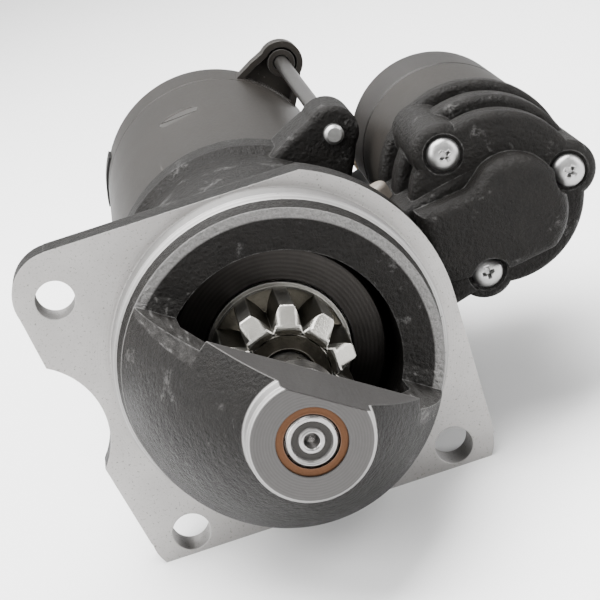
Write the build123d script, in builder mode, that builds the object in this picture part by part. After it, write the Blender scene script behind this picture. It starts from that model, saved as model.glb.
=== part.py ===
"""Starter motor: cast drive end with ring-gear window, wound-field motor and top solenoid.

The origin is the centre of the flange's mounting face, on the motor axis. The nose points
along -Y, the motor body runs along +Y, and Z is up with the two lower flange holes level.
A station is a distance along Y from the mounting face. All sizes are in millimetres.
"""
from build123d import *
from math import atan2, cos, degrees, hypot, radians, sin
import os

os.makedirs("parts", exist_ok=True)

# ---------------------------------------------------------------- driving dimensions
PILOT_R = 44.5
PILOT_FRONT = -7.2
FLANGE_THICK = 9.0
HOLE_R = 5.25
LEFT_HOLE = (-51.4, 32.1)
LOW_HOLE_X = 37.6
LOW_HOLE_Z = -41.6

BOSS_R = 15.3
BOSS_FRONT = -71.2
BUSH_R = 8.6
BUSH_REAR = -49.6
WINDOW_ANGLE = 55.5        # direction of the ring gear seen from the motor axis
WINDOW_REAR = -14.3
WINDOW_FRONT = -49.0
CAVITY_FRONT = -48.6
BOSS_FLAT = 10.7           # distance of the milled flat from the motor axis
CAVITY_R = 31.2
BARREL_BORE_R = 36.2
HOUSING_REAR = 85.0

JOURNAL_R = 6.65
SPLINE_R = 8.4
RUN_FIT = 0.05             # radial clearance of a running fit
CLEAR = 0.3                # gap between parts that move past each other

TEETH = 10
TIP_R = 18.3
ROOT_R = 11.7
PINION_FRONT = -23.0
PINION_REAR = -2.0
DRUM_R = 29.2
DRUM_FRONT = -1.5
DRUM_REAR = 23.5
SLEEVE_R = 10.8
SLEEVE_REAR = 58.0
GROOVE = (43.2, 50.8)      # stations of the shift collar's groove

SOLENOID_X = 69.6
SOLENOID_Z = 17.5
CASE_R = 26.4
CASE_FRONT = 50.0
CASE_REAR = 84.0
CAP_REAR = 113.0
PLUNGER_R = 9.8
SCREW_CIRCLE_R = 20.2
SCREW_ANGLE = 124.6
SCREW_SEAT = 12.6
PIVOT_U = 43.5             # lever pivot: distance from the motor axis and station
PIVOT_Y = 30.0
PIN_R = 3.0
HOOK_Y = 27.0              # station of the plunger's cross pin at rest

YOKE_R = 40.8
YOKE_INNER_R = 36.6
YOKE_REAR = 202.0
END_REAR = 231.7
POLE_CENTRE = 151.0
POLE_HALF = 30.0
POLE_ANGLE = 99.0
POLE_INNER_R = 28.0
ARMATURE_R = 27.2
COMMUTATOR_R = 18.0
BOLT_X = 35.7
BOLT_Z = 36.9
BOLT_R = 2.6
STUD_R = 3.0

# ---------------------------------------------------------------- frames and helpers
lever_angle = atan2(SOLENOID_Z, SOLENOID_X)
solenoid_u = hypot(SOLENOID_X, SOLENOID_Z)
bolt_angle = degrees(atan2(BOLT_Z, BOLT_X))
bolt_circle_r = hypot(BOLT_X, BOLT_Z)
window_angle = radians(WINDOW_ANGLE)
SOLENOID = (SOLENOID_X, SOLENOID_Z)
# local x runs from the motor axis to the solenoid axis, local y is the station
LEVER_PLANE = Plane(origin=(0, 0, 0), x_dir=(cos(lever_angle), 0, sin(lever_angle)),
                    z_dir=(-sin(lever_angle), 0, cos(lever_angle)))
# local x points at the ring gear, local y is the station
WINDOW_PLANE = Plane(origin=(0, 0, 0), x_dir=(cos(window_angle), 0, sin(window_angle)),
                     z_dir=(-sin(window_angle), 0, cos(window_angle)))


def across(station):
    """Plane square to the motor axis at a station, with +Z as its local y, facing the nose."""
    return Plane(origin=(0, station, 0), x_dir=(1, 0, 0), z_dir=(0, -1, 0))


def polar(radius, angle, centre=(0, 0)):
    """Point in the X-Z plane at a radius and an angle in degrees from +X about a centre."""
    return (centre[0] + radius * cos(radians(angle)), centre[1] + radius * sin(radians(angle)))


def turned(*corners, axis_at=(0, 0), rounds=()):
    """Closed profile of (radius, station) corners for a revolve about an axis along Y.

    rounds lists the corners that are rounded, each with its radius.
    """
    with BuildSketch(Plane(origin=(axis_at[0], 0, axis_at[1]))) as profile:
        with BuildLine():
            Polyline(*corners, close=True)
        make_face()
        for corner, size in rounds:
            fillet(profile.vertices().sort_by_distance(corner)[0], radius=size)
    return profile.sketch


def tube(inner, outer, front, rear, axis_at=(0, 0)):
    """Ring section between two radii and two stations."""
    return turned((inner, front), (outer, front), (outer, rear), (inner, rear), axis_at=axis_at)


def cast_disc(radius, front, rear, edge, axis_at):
    """Section of a cast disc whose rims are rounded."""
    return turned((0, front), (radius, front), (radius, rear), (0, rear), axis_at=axis_at,
                  rounds=(((radius, front), edge), ((radius, rear), edge)))


def axis_along_y(centre):
    """Axis along Y through a point of the X-Z plane."""
    return Axis((centre[0], 0, centre[1]), (0, 1, 0))


def coil_spring(mean_r, wire_r, front, rear, turns, centre=(0, 0)):
    """Round-wire compression spring along Y."""
    path = Helix(pitch=(rear - front) / turns, height=rear - front, radius=mean_r,
                 center=(centre[0], front, centre[1]), direction=(0, 1, 0))
    with BuildSketch(Plane(origin=path @ 0, z_dir=path % 0)) as wire:
        Circle(wire_r)
    return sweep(wire.sketch, path=path)


def ear(radius, root_half, turn=0):
    """Gusset ear: a rounded lug at the through bolt that widens towards the motor axis."""
    with BuildSketch() as outline:
        with BuildLine():
            Polyline((0, -root_half), (bolt_circle_r - 5, -radius - 2), (bolt_circle_r, -radius),
                     (bolt_circle_r, radius), (bolt_circle_r - 5, radius + 2), (0, root_half),
                     close=True)
        make_face()
        with Locations((bolt_circle_r, 0)):
            Circle(radius)
    return outline.sketch.rotate(Axis.Z, bolt_angle + turn)


screw_places = [polar(SCREW_CIRCLE_R, SCREW_ANGLE + 120 * k, SOLENOID) for k in range(3)]
bolt_places = [(BOLT_X, BOLT_Z), (-BOLT_X, -BOLT_Z)]
pole_angles = [POLE_ANGLE + 90 * k for k in range(4)]
low_holes = [(-LOW_HOLE_X, LOW_HOLE_Z), (LOW_HOLE_X, LOW_HOLE_Z)]

# ================================================================ drive end
# Drive-end housing: one iron casting with the flange, pilot, nose, barrel and solenoid chamber.
LOBE_R = 11.2
LEFT_LOBE = (-50.2, 33.2)
LEFT_LOBE_R = 12.0
FLANGE_DISC_R = 49.3
FLANGE_TOP = 45.3
FLANGE_BOTTOM = -49.5
SKIRT_R = 52.8
SKIRT_HALF = 30.0
NOTCH = (-70.3, -3.1)
NOTCH_R = 21.2
NECK_R = 39.0
RIM_R = 41.2
EAR_R = 8.0
EAR_FRONT = 66.0
CHAMBER_FRONT = 12.0
CHAMBER_BORE_R = 15.5
CHAMBER_WALL = 5.0
PILLAR_R = 8.2
SEAT_R = 5.6
BULGE_FRONT = 3.6
LEVER_TOP = 12.0
LEVER_BOTTOM = -19.0
PASSAGE_HALF = 9.0
SEAL_FRONT = 54.0
CAST_EDGE = 2.0            # radius of a cast edge

with BuildSketch() as flange_skirt:
    Circle(SKIRT_R)
    with Locations((0, -SKIRT_R)):
        Rectangle(2 * SKIRT_HALF, 2 * SKIRT_R, mode=Mode.INTERSECT)

# the chamber's core, rear rim, middle rib and front plate: radius, front and rear stations
chamber_discs = [(CASE_R - 4.5, CHAMBER_FRONT + 1, CASE_FRONT - 1), (CASE_R + 1, CASE_FRONT - 7, CASE_FRONT),
                 (CASE_R - 0.4, CASE_FRONT - 24, CASE_FRONT - 14), (CASE_R - 2.4, CHAMBER_FRONT, CHAMBER_FRONT + 9)]

# through-bolt ears at the rear rim
with BuildPart() as front_ears:
    with BuildSketch(across(HOUSING_REAR)):
        add(ear(EAR_R, 26))
        add(ear(EAR_R, 26, 180))
    extrude(amount=HOUSING_REAR - EAR_FRONT)
    fillet(front_ears.edges().group_by(Axis.Y)[0], radius=CAST_EDGE)

# hump over the front of the plunger's hook
with BuildPart() as hump:
    with BuildSketch(across(CHAMBER_FRONT + 2)) as outline:
        with BuildLine():
            Polyline((46, 1.5), (46, 22.5), (61, 23.6), (66.9, 28.3))
            ThreePointArc((66.9, 28.3), (75, 29.6), (82.5, 25.5))
            ThreePointArc((82.5, 25.5), (86.4, 12), (80, 1.6))
            Polyline((80, 1.6), (67.3, -0.3), (46, 1.5))
        make_face()
        fillet(outline.vertices().filter_by_position(Axis.X, 55, 90), radius=3.5)
    extrude(amount=CHAMBER_FRONT + 2 - BULGE_FRONT)
    fillet(hump.edges().group_by(Axis.Y)[0], radius=3.4)

# lever housing between barrel and chamber
with BuildPart() as lever_housing:
    with BuildSketch(LEVER_PLANE.offset(LEVER_BOTTOM)):
        with BuildLine():
            Polyline((25, FLANGE_THICK), (52, FLANGE_THICK + 1), (solenoid_u, CHAMBER_FRONT),
                     (solenoid_u, CASE_FRONT - 3), (44.0, CASE_FRONT - 3), (44.0, 58), (30, 64), close=True)
        make_face()
    extrude(amount=LEVER_TOP - LEVER_BOTTOM)
    top_and_bottom = lever_housing.edges().group_by(Axis((0, 0, 0), LEVER_PLANE.z_dir))
    fillet(top_and_bottom[0] + top_and_bottom[-1], radius=CAST_EDGE)

# flange plate with its three lobes and the clearance notch on the left
with BuildPart() as flange_plate:
    with BuildSketch(across(FLANGE_THICK)):
        Circle(FLANGE_DISC_R)
        with BuildLine():
            Polyline((LEFT_LOBE[0], FLANGE_TOP), (0, FLANGE_TOP), (FLANGE_DISC_R, 0),
                     (FLANGE_DISC_R, LOW_HOLE_Z), (LOW_HOLE_X, FLANGE_BOTTOM),
                     (-LOW_HOLE_X, FLANGE_BOTTOM), (-49.0, LOW_HOLE_Z), (-53.9, -17), (-59.6, 15),
                     (-62.2, LEFT_LOBE[1]), close=True)
        make_face()
        add(flange_skirt.sketch)
        with Locations(LEFT_LOBE):
            Circle(LEFT_LOBE_R)
        with Locations(*low_holes):
            Circle(LOBE_R)
        with Locations(NOTCH):
            Circle(NOTCH_R, mode=Mode.SUBTRACT)
        with Locations((0, FLANGE_TOP + PILOT_R)):
            Rectangle(4 * PILOT_R, 2 * PILOT_R, mode=Mode.SUBTRACT)
    extrude(amount=FLANGE_THICK)

with BuildPart() as drive_housing:
    # nose, pilot and barrel, turned about the motor axis
    with BuildSketch():
        with BuildLine():
            Polyline((0, BOSS_FRONT), (BOSS_R - 1.1, BOSS_FRONT), (BOSS_R, BOSS_FRONT + 1.1),
                     (BOSS_R, BOSS_FRONT + 5))
            ThreePointArc((BOSS_R, BOSS_FRONT + 5), (35.0, -38), (42.2, WINDOW_REAR))
            Polyline((42.2, WINDOW_REAR), (43.2, PILOT_FRONT - 1.3), (PILOT_R, PILOT_FRONT),
                     (PILOT_R, FLANGE_THICK), (NECK_R, FLANGE_THICK + 10),
                     (NECK_R, EAR_FRONT + 4), (RIM_R, EAR_FRONT + 8),
                     (RIM_R, HOUSING_REAR), (0, HOUSING_REAR), (0, BOSS_FRONT))
        make_face()
    revolve(axis=Axis.Y)
    add(flange_plate.part)
    # through-bolt ears at the rear rim
    add(front_ears.part)
    # solenoid chamber: rear rim, middle rib and front plate, tied by three screw pillars
    for radius, front, rear in chamber_discs:
        revolve(cast_disc(radius, front, rear, CAST_EDGE, SOLENOID), axis=axis_along_y(SOLENOID))
    for place in screw_places:
        revolve(cast_disc(PILLAR_R, CHAMBER_FRONT, CASE_FRONT - 1, 2.2, place), axis=axis_along_y(place))
    add(lever_housing.part)
    add(hump.part)
    # inner spaces: nose cavity, clutch bore and barrel bore
    revolve(turned((0, CAVITY_FRONT), (21, CAVITY_FRONT), (CAVITY_R, -25), (CAVITY_R, 20),
                   (BARREL_BORE_R, 24),
                   (BARREL_BORE_R, HOUSING_REAR), (0, HOUSING_REAR)),
            axis=Axis.Y, mode=Mode.SUBTRACT)
    # ring-gear window and the flat milled on the boss
    with BuildSketch(WINDOW_PLANE):
        with BuildLine():
            Polyline((4.9, WINDOW_REAR), (8, WINDOW_FRONT), (BOSS_FLAT, WINDOW_FRONT),
                     (BOSS_FLAT, BOSS_FRONT - 5), (PILOT_R + 10, BOSS_FRONT - 5),
                     (PILOT_R + 10, WINDOW_REAR), close=True)
        make_face()
    extrude(amount=2 * PILOT_R, both=True, mode=Mode.SUBTRACT)
    # bush bore
    revolve(tube(0, BUSH_R, BOSS_FRONT - 1, BUSH_REAR + 10), axis=Axis.Y, mode=Mode.SUBTRACT)
    # plunger chamber and the lever's passage into the barrel
    revolve(tube(0, CHAMBER_BORE_R, CHAMBER_FRONT + CHAMBER_WALL, CASE_FRONT, axis_at=SOLENOID),
            axis=axis_along_y(SOLENOID), mode=Mode.SUBTRACT)
    with BuildSketch(LEVER_PLANE.offset(-PASSAGE_HALF)):
        with BuildLine():
            Polyline((20, 19), (solenoid_u, 18), (solenoid_u, 44), (40, 47), (20, 60), close=True)
        make_face()
    extrude(amount=2 * PASSAGE_HALF, mode=Mode.SUBTRACT)
    # notch for the lever seal, open to the rear rim
    with BuildSketch(LEVER_PLANE.offset(-PASSAGE_HALF)):
        with BuildLine():
            Polyline((20, SEAL_FRONT), (60, SEAL_FRONT), (60, HOUSING_REAR), (20, HOUSING_REAR),
                     close=True)
        make_face()
    extrude(amount=2 * PASSAGE_HALF, mode=Mode.SUBTRACT)
    # pivot pin, flange holes, screw holes with their seats, and tapped through-bolt holes
    with BuildSketch(LEVER_PLANE.offset(-30)):
        with Locations((PIVOT_U, PIVOT_Y)):
            Circle(PIN_R)
    extrude(amount=60, mode=Mode.SUBTRACT)
    with BuildSketch(across(FLANGE_THICK)):
        with Locations(LEFT_HOLE, *low_holes):
            Circle(HOLE_R)
    extrude(amount=FLANGE_THICK, mode=Mode.SUBTRACT)
    with BuildSketch(across(CASE_FRONT)):
        with Locations(*screw_places):
            Circle(BOLT_R)
    extrude(amount=CASE_FRONT, mode=Mode.SUBTRACT)
    with BuildSketch(across(SCREW_SEAT)):
        with Locations(*screw_places):
            Circle(SEAT_R)
    extrude(amount=SCREW_SEAT + 5, mode=Mode.SUBTRACT)
    with BuildSketch(across(HOUSING_REAR)):
        with Locations(*bolt_places):
            Circle(STUD_R)
    extrude(amount=HOUSING_REAR - EAR_FRONT, mode=Mode.SUBTRACT)
drive_housing.part.label = "drive_housing"
export_step(drive_housing.part, "parts/drive_housing.step")

# Nose bush: sintered bronze, pressed into the boss.
with BuildPart() as nose_bush:
    revolve(tube(JOURNAL_R + RUN_FIT, BUSH_R, BOSS_FRONT + 0.6, BUSH_REAR), axis=Axis.Y)
nose_bush.part.label = "nose_bush"
export_step(nose_bush.part, "parts/nose_bush.step")

# Lever pivot pin, across the lever housing, and the plastic plug over its upper end.
PIN_TOP = 10.5
with BuildPart() as lever_pivot_pin:
    with BuildSketch(LEVER_PLANE.offset(LEVER_BOTTOM + 1)):
        with Locations((PIVOT_U, PIVOT_Y)):
            Circle(PIN_R)
    extrude(amount=PIN_TOP - LEVER_BOTTOM - 1)
lever_pivot_pin.part.label = "lever_pivot_pin"
export_step(lever_pivot_pin.part, "parts/lever_pivot_pin.step")

with BuildPart() as pivot_plug:
    with BuildSketch(LEVER_PLANE.offset(LEVER_TOP)):
        with Locations((PIVOT_U, PIVOT_Y)):
            SlotOverall(9.4, 7)
    extrude(amount=5)
    fillet(pivot_plug.faces().sort_by(Axis((0, 0, 0), LEVER_PLANE.z_dir))[-1].edges(), radius=1.6)
    with BuildSketch(LEVER_PLANE.offset(PIN_TOP)):
        with Locations((PIVOT_U, PIVOT_Y)):
            Circle(PIN_R)
    extrude(amount=LEVER_TOP - PIN_TOP)
pivot_plug.part.label = "pivot_plug"
export_step(pivot_plug.part, "parts/pivot_plug.step")

# Lever seal: rubber block that fills the notch between the barrel, yoke and solenoid.
with BuildPart() as lever_seal:
    with BuildSketch(LEVER_PLANE.offset(-PASSAGE_HALF)):
        with BuildLine():
            Polyline((37.5, SEAL_FRONT), (45, SEAL_FRONT), (45, HOUSING_REAR),
                     (37.5, HOUSING_REAR), close=True)
        make_face()
    extrude(amount=2 * PASSAGE_HALF)
lever_seal.part.label = "lever_seal"
export_step(lever_seal.part, "parts/lever_seal.step")

# Centre bearing plate: pressed-steel disc clamped between the barrel and the yoke.
PLATE_FRONT = 80.0
with BuildPart() as centre_plate:
    revolve(turned((11, PLATE_FRONT - 6), (14, PLATE_FRONT - 6), (14, PLATE_FRONT),
                   (BARREL_BORE_R - RUN_FIT, PLATE_FRONT), (BARREL_BORE_R - RUN_FIT, HOUSING_REAR),
                   (14, HOUSING_REAR), (11, HOUSING_REAR)), axis=Axis.Y)
centre_plate.part.label = "centre_plate"
export_step(centre_plate.part, "parts/centre_plate.step")

with BuildPart() as centre_bush:
    revolve(tube(SPLINE_R + RUN_FIT, 11, PLATE_FRONT - 6, HOUSING_REAR), axis=Axis.Y)
centre_bush.part.label = "centre_bush"
export_step(centre_bush.part, "parts/centre_bush.step")

# ================================================================ armature
# Shaft: ground journals at both ends, a splined length under the drive and a centre drilling.
SHAFT_FRONT = BOSS_FRONT + 0.3
SHAFT_REAR = 228.0
SPLINE_FRONT = 8.0
REAR_JOURNAL_R = 6.0
COLLAR_FRONT = -47.5
COLLAR_REAR = -41.0
RING_GROOVE = (-45.2, -43.4)
with BuildPart() as armature_shaft:
    revolve(turned((0, SHAFT_FRONT + 4), (1.2, SHAFT_FRONT + 3), (1.9, SHAFT_FRONT + 0.6),
                   (2.3, SHAFT_FRONT + 0.3), (3.0, SHAFT_FRONT + 0.5), (3.3, SHAFT_FRONT + 1),
                   (4.6, SHAFT_FRONT + 1), (5.0, SHAFT_FRONT + 0.2), (5.8, SHAFT_FRONT),
                   (JOURNAL_R, SHAFT_FRONT + 0.9), (JOURNAL_R, RING_GROOVE[0]),
                   (JOURNAL_R - 0.8, RING_GROOVE[0]), (JOURNAL_R - 0.8, RING_GROOVE[1]),
                   (JOURNAL_R, RING_GROOVE[1]), (JOURNAL_R, SPLINE_FRONT),
                   (SPLINE_R, SPLINE_FRONT + 1.75), (SPLINE_R, 190), (8, 190), (8, 217),
                   (REAR_JOURNAL_R, 217), (REAR_JOURNAL_R, SHAFT_REAR), (0, SHAFT_REAR)),
            axis=Axis.Y)
    with BuildSketch(across(PLATE_FRONT - 8)):
        with PolarLocations(SPLINE_R, 10):
            Rectangle(1.0, 1.8, mode=Mode.ADD)
    extrude(amount=PLATE_FRONT - 8 - SPLINE_FRONT, mode=Mode.SUBTRACT)
armature_shaft.part.label = "armature_shaft"
export_step(armature_shaft.part, "parts/armature_shaft.step")

# Stop collar and the snap ring that holds it on the shaft.
with BuildPart() as stop_collar:
    revolve(turned((JOURNAL_R, COLLAR_FRONT + 1.6), (8.4, COLLAR_FRONT + 1.6), (8.4, COLLAR_FRONT),
                   (10.4, COLLAR_FRONT), (10.4, COLLAR_REAR), (JOURNAL_R, COLLAR_REAR),
                   (JOURNAL_R, RING_GROOVE[1]), (8.2, RING_GROOVE[1]), (8.2, RING_GROOVE[0]),
                   (JOURNAL_R, RING_GROOVE[0])), axis=Axis.Y)
stop_collar.part.label = "stop_collar"
export_step(stop_collar.part, "parts/stop_collar.step")

with BuildPart() as stop_snap_ring:
    revolve(tube(JOURNAL_R - 0.8, 8.2, RING_GROOVE[0] + 0.1, RING_GROOVE[1] - 0.1), axis=Axis.Y)
stop_snap_ring.part.label = "stop_snap_ring"
export_step(stop_snap_ring.part, "parts/stop_snap_ring.step")

# Armature core: slotted lamination stack pressed on the shaft.
SLOTS = 25
SLOT_DEPTH = 8.0
SLOT_WIDTH = 2.6
with BuildPart() as armature_core:
    with BuildSketch(across(POLE_CENTRE + POLE_HALF)):
        Circle(ARMATURE_R)
        Circle(SPLINE_R, mode=Mode.SUBTRACT)
        with PolarLocations(ARMATURE_R - SLOT_DEPTH / 2 + 0.5, SLOTS):
            Rectangle(SLOT_DEPTH + 1, SLOT_WIDTH, mode=Mode.SUBTRACT)
    extrude(amount=2 * POLE_HALF)
armature_core.part.label = "armature_core"
export_step(armature_core.part, "parts/armature_core.step")

# Armature windings: copper bars in the slots with an overhang at each end.
BAR_GAP = 0.1
with BuildPart() as armature_windings:
    with BuildSketch(across(POLE_CENTRE + POLE_HALF + 8)):
        with PolarLocations(ARMATURE_R - SLOT_DEPTH / 2 - 0.5, SLOTS):
            Rectangle(SLOT_DEPTH - 1 - 2 * BAR_GAP, SLOT_WIDTH - 2 * BAR_GAP)
    extrude(amount=2 * POLE_HALF + 16)
    for front in (POLE_CENTRE - POLE_HALF - 9, POLE_CENTRE + POLE_HALF + 1):
        revolve(tube(COMMUTATOR_R - 3, ARMATURE_R - 1.2, front, front + 8), axis=Axis.Y)
armature_windings.part.label = "armature_windings"
export_step(armature_windings.part, "parts/armature_windings.step")

# Commutator: copper segments with undercut mica gaps on a moulded hub.
COMMUTATOR = (191.0, 214.0)
with BuildPart() as commutator:
    revolve(tube(8, COMMUTATOR_R, COMMUTATOR[0], COMMUTATOR[1]), axis=Axis.Y)
    with BuildSketch(across(COMMUTATOR[1])):
        with PolarLocations(COMMUTATOR_R, SLOTS):
            Rectangle(1.4, 0.5)
    extrude(amount=COMMUTATOR[1] - COMMUTATOR[0] - 3, mode=Mode.SUBTRACT)
commutator.part.label = "commutator"
export_step(commutator.part, "parts/commutator.step")

# ================================================================ drive
# Pinion: ten teeth with bevelled front ends, a collar that the clutch cover retains, inner race.
RACE_R = 12.5
RACE_REAR = 17.5
TOOTH = [(ROOT_R - 0.6, 3.7), (ROOT_R + 1.2, 3.2), (15.0, 2.75), (17.0, 2.2), (TIP_R, 1.75)]
with BuildPart() as pinion:
    with BuildSketch(across(PINION_REAR)):
        Circle(ROOT_R)
        with BuildLine() as flank:
            Polyline(*[(r, half) for r, half in TOOTH], *[(r, -half) for r, half in TOOTH[::-1]],
                     close=True)
        tooth = make_face(mode=Mode.PRIVATE)
        with PolarLocations(0, TEETH, start_angle=WINDOW_ANGLE + 18):
            add(tooth)
    extrude(amount=PINION_REAR - PINION_FRONT)
    # bevel on the tooth tips at the front and a rounded run-out at the rear
    revolve(turned((TIP_R - 1.6, PINION_FRONT - 1), (TIP_R + 2, PINION_FRONT - 1),
                   (TIP_R + 2, PINION_FRONT + 2.6)), axis=Axis.Y, mode=Mode.SUBTRACT)
    revolve(tube(TIP_R, TIP_R + 4, PINION_FRONT - 1, PINION_REAR), axis=Axis.Y, mode=Mode.SUBTRACT)
    revolve(turned((0, PINION_REAR), (19.6, PINION_REAR), (19.6, 1.4), (22.4, 1.4), (22.4, 3.6),
                   (RACE_R, 3.6), (RACE_R, RACE_REAR), (0, RACE_REAR)), axis=Axis.Y)
    revolve(tube(0, JOURNAL_R + RUN_FIT, PINION_FRONT - 1, RACE_REAR - 8), axis=Axis.Y,
            mode=Mode.SUBTRACT)
    revolve(tube(0, SPLINE_R + CLEAR, RACE_REAR - 10, RACE_REAR + 1), axis=Axis.Y, mode=Mode.SUBTRACT)
pinion.part.label = "pinion"
export_step(pinion.part, "parts/pinion.step")

# Clutch cover: drawn steel cup crimped over the clutch body, with the pinion through its front.
COVER_INNER_R = 27.7
with BuildPart() as clutch_cover:
    revolve(turned((19.9, DRUM_FRONT), (DRUM_R - 0.8, DRUM_FRONT), (DRUM_R, DRUM_FRONT + 0.8),
                   (DRUM_R, DRUM_REAR), (24, DRUM_REAR), (24, DRUM_REAR - 1.3),
                   (COVER_INNER_R, DRUM_REAR - 1.3), (COVER_INNER_R, 1.1), (19.9, 1.1)), axis=Axis.Y)
clutch_cover.part.label = "clutch_cover"
export_step(clutch_cover.part, "parts/clutch_cover.step")

# Clutch body: outer race ring, driving flange and splined sleeve in one piece.
ROLLERS = 5
ROLLER_R = 3.3
ROLLER_CIRCLE_R = 16.05
TRACK_R = 19.6
TRACK = (4.2, 18.2)
with BuildPart() as clutch_body:
    revolve(turned((SPLINE_R + RUN_FIT, TRACK[1]), (TRACK_R, TRACK[1]), (TRACK_R, TRACK[0]),
                   (COVER_INNER_R, TRACK[0]), (COVER_INNER_R, DRUM_REAR - 1.3), (SLEEVE_R, DRUM_REAR - 1.3),
                   (SLEEVE_R, SLEEVE_REAR), (SPLINE_R + RUN_FIT, SLEEVE_REAR)), axis=Axis.Y)
    with BuildSketch(across(TRACK[1])):
        with PolarLocations(TRACK_R - 0.2, ROLLERS, start_angle=22):
            Rectangle(3.4, 9)
    extrude(amount=TRACK[1] - TRACK[0], mode=Mode.SUBTRACT)
    revolve(tube(SLEEVE_R - 0.9, SLEEVE_R, 55, 56.6), axis=Axis.Y, mode=Mode.SUBTRACT)
clutch_body.part.label = "clutch_body"
export_step(clutch_body.part, "parts/clutch_body.step")

# Rollers that wedge between the races, and the small springs that hold them ready.
with BuildPart() as clutch_rollers:
    with BuildSketch(across(TRACK[1] - 0.4)):
        with PolarLocations(ROLLER_CIRCLE_R, ROLLERS):
            Circle(ROLLER_R)
    extrude(amount=TRACK[1] - TRACK[0] - 0.8)
clutch_rollers.part.label = "clutch_rollers"
export_step(clutch_rollers.part, "parts/clutch_rollers.step")

with BuildPart() as roller_springs:
    for k in range(ROLLERS):
        x, z = polar(TRACK_R - 0.7, 22 + 360 / ROLLERS * k)
        along = (-z, 0, x)
        with BuildSketch(Plane(origin=(x, (TRACK[0] + TRACK[1]) / 2, z), z_dir=along)):
            Circle(1.0)
        extrude(amount=3.6, both=True)
roller_springs.part.label = "roller_springs"
export_step(roller_springs.part, "parts/roller_springs.step")

# Shift collar: grooved ring that the lever pushes; a snap ring keeps it on the sleeve.
COLLAR_HUB_R = 14.0
COLLAR_R = 19.0
with BuildPart() as shift_collar:
    revolve(turned((SLEEVE_R + RUN_FIT, GROOVE[0] - 2.2), (COLLAR_R, GROOVE[0] - 2.2),
                   (COLLAR_R, GROOVE[0]), (COLLAR_HUB_R, GROOVE[0]), (COLLAR_HUB_R, GROOVE[1]),
                   (COLLAR_R, GROOVE[1]), (COLLAR_R, GROOVE[1] + 2.2),
                   (SLEEVE_R + RUN_FIT, GROOVE[1] + 2.2)), axis=Axis.Y)
shift_collar.part.label = "shift_collar"
export_step(shift_collar.part, "parts/shift_collar.step")

with BuildPart() as sleeve_snap_ring:
    revolve(tube(SLEEVE_R - 0.9, SLEEVE_R + 1.8, 55.1, 56.5), axis=Axis.Y)
sleeve_snap_ring.part.label = "sleeve_snap_ring"
export_step(sleeve_snap_ring.part, "parts/sleeve_snap_ring.step")

# Meshing spring: lets the collar move on when a tooth meets a tooth.
with BuildPart() as meshing_spring:
    add(coil_spring(13.6, 1.2, DRUM_REAR + 1.2, GROOVE[0] - 3.4, 4))
meshing_spring.part.label = "meshing_spring"
export_step(meshing_spring.part, "parts/meshing_spring.step")

# Shift lever: cast fork round the collar, hub on the pivot pin and slotted end on the plunger.
SHOE_Y = sum(GROOVE) / 2
SHOE_R = 3.4
ARM_INNER = 19.4
ARM_OUTER = 22.9
HOOK_PIN_R = 2.5
CROTCH = 0.50              # fractions of the way from the shoe to the pivot
CROTCH_END = 0.57


def on_stem(t, side):
    """Corner of the lever's stem, a fraction of the way from shoe to pivot, and to one side."""
    length = hypot(PIVOT_U, SHOE_Y - PIVOT_Y)
    nx, ny = (SHOE_Y - PIVOT_Y) / length, PIVOT_U / length
    return (PIVOT_U * t + side * nx, SHOE_Y + (PIVOT_Y - SHOE_Y) * t + side * ny)


def stem(start, end, half_a, half_b):
    """Tapered four-cornered outline along the stem."""
    return [on_stem(start, half_a), on_stem(end, half_b), on_stem(end, -half_b), on_stem(start, -half_a)]


with BuildPart() as shift_lever:
    with BuildSketch(LEVER_PLANE.offset(-7)):
        with Locations((PIVOT_U, PIVOT_Y)):
            Circle(7)
    extrude(amount=14)
    with BuildSketch(LEVER_PLANE.offset(-7)):
        with BuildLine():
            Polyline(*stem(CROTCH, 1, 4.5, 6), close=True)
        make_face()
    extrude(amount=14)
    with BuildSketch(LEVER_PLANE.offset(-ARM_OUTER)):
        with BuildLine():
            Polyline(*stem(CROTCH, CROTCH_END, 4.2, 4.2), close=True)
        make_face()
    extrude(amount=2 * ARM_OUTER)
    for bottom in (-ARM_OUTER, ARM_INNER):
        with BuildSketch(LEVER_PLANE.offset(bottom)):
            with BuildLine():
                Polyline(*stem(0, CROTCH_END, 3.6, 4.2), close=True)
            make_face()
            with Locations((0, SHOE_Y)):
                Circle(4.6)
        extrude(amount=ARM_OUTER - ARM_INNER)
    for bottom in (-ARM_INNER, COLLAR_HUB_R + 1):
        with BuildSketch(LEVER_PLANE.offset(bottom)):
            with Locations((0, SHOE_Y)):
                Circle(SHOE_R)
        extrude(amount=ARM_INNER - COLLAR_HUB_R - 1)
    with BuildSketch(LEVER_PLANE.offset(-3)):
        with BuildLine():
            Polyline((PIVOT_U, PIVOT_Y + 6), (solenoid_u + 5, HOOK_Y + 5.4), (solenoid_u + 5, HOOK_Y - 5.4),
                     (PIVOT_U, PIVOT_Y - 6), close=True)
        make_face()
    extrude(amount=6)
    with BuildSketch(LEVER_PLANE.offset(-4)):
        with Locations((solenoid_u, HOOK_Y)):
            Rectangle(12, 2 * HOOK_PIN_R + 0.8)
    extrude(amount=8, mode=Mode.SUBTRACT)
    with BuildSketch(LEVER_PLANE.offset(-8)):
        with Locations((PIVOT_U, PIVOT_Y)):
            Circle(PIN_R + RUN_FIT)
    extrude(amount=16, mode=Mode.SUBTRACT)
shift_lever.part.label = "shift_lever"
export_step(shift_lever.part, "parts/shift_lever.step")

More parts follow.
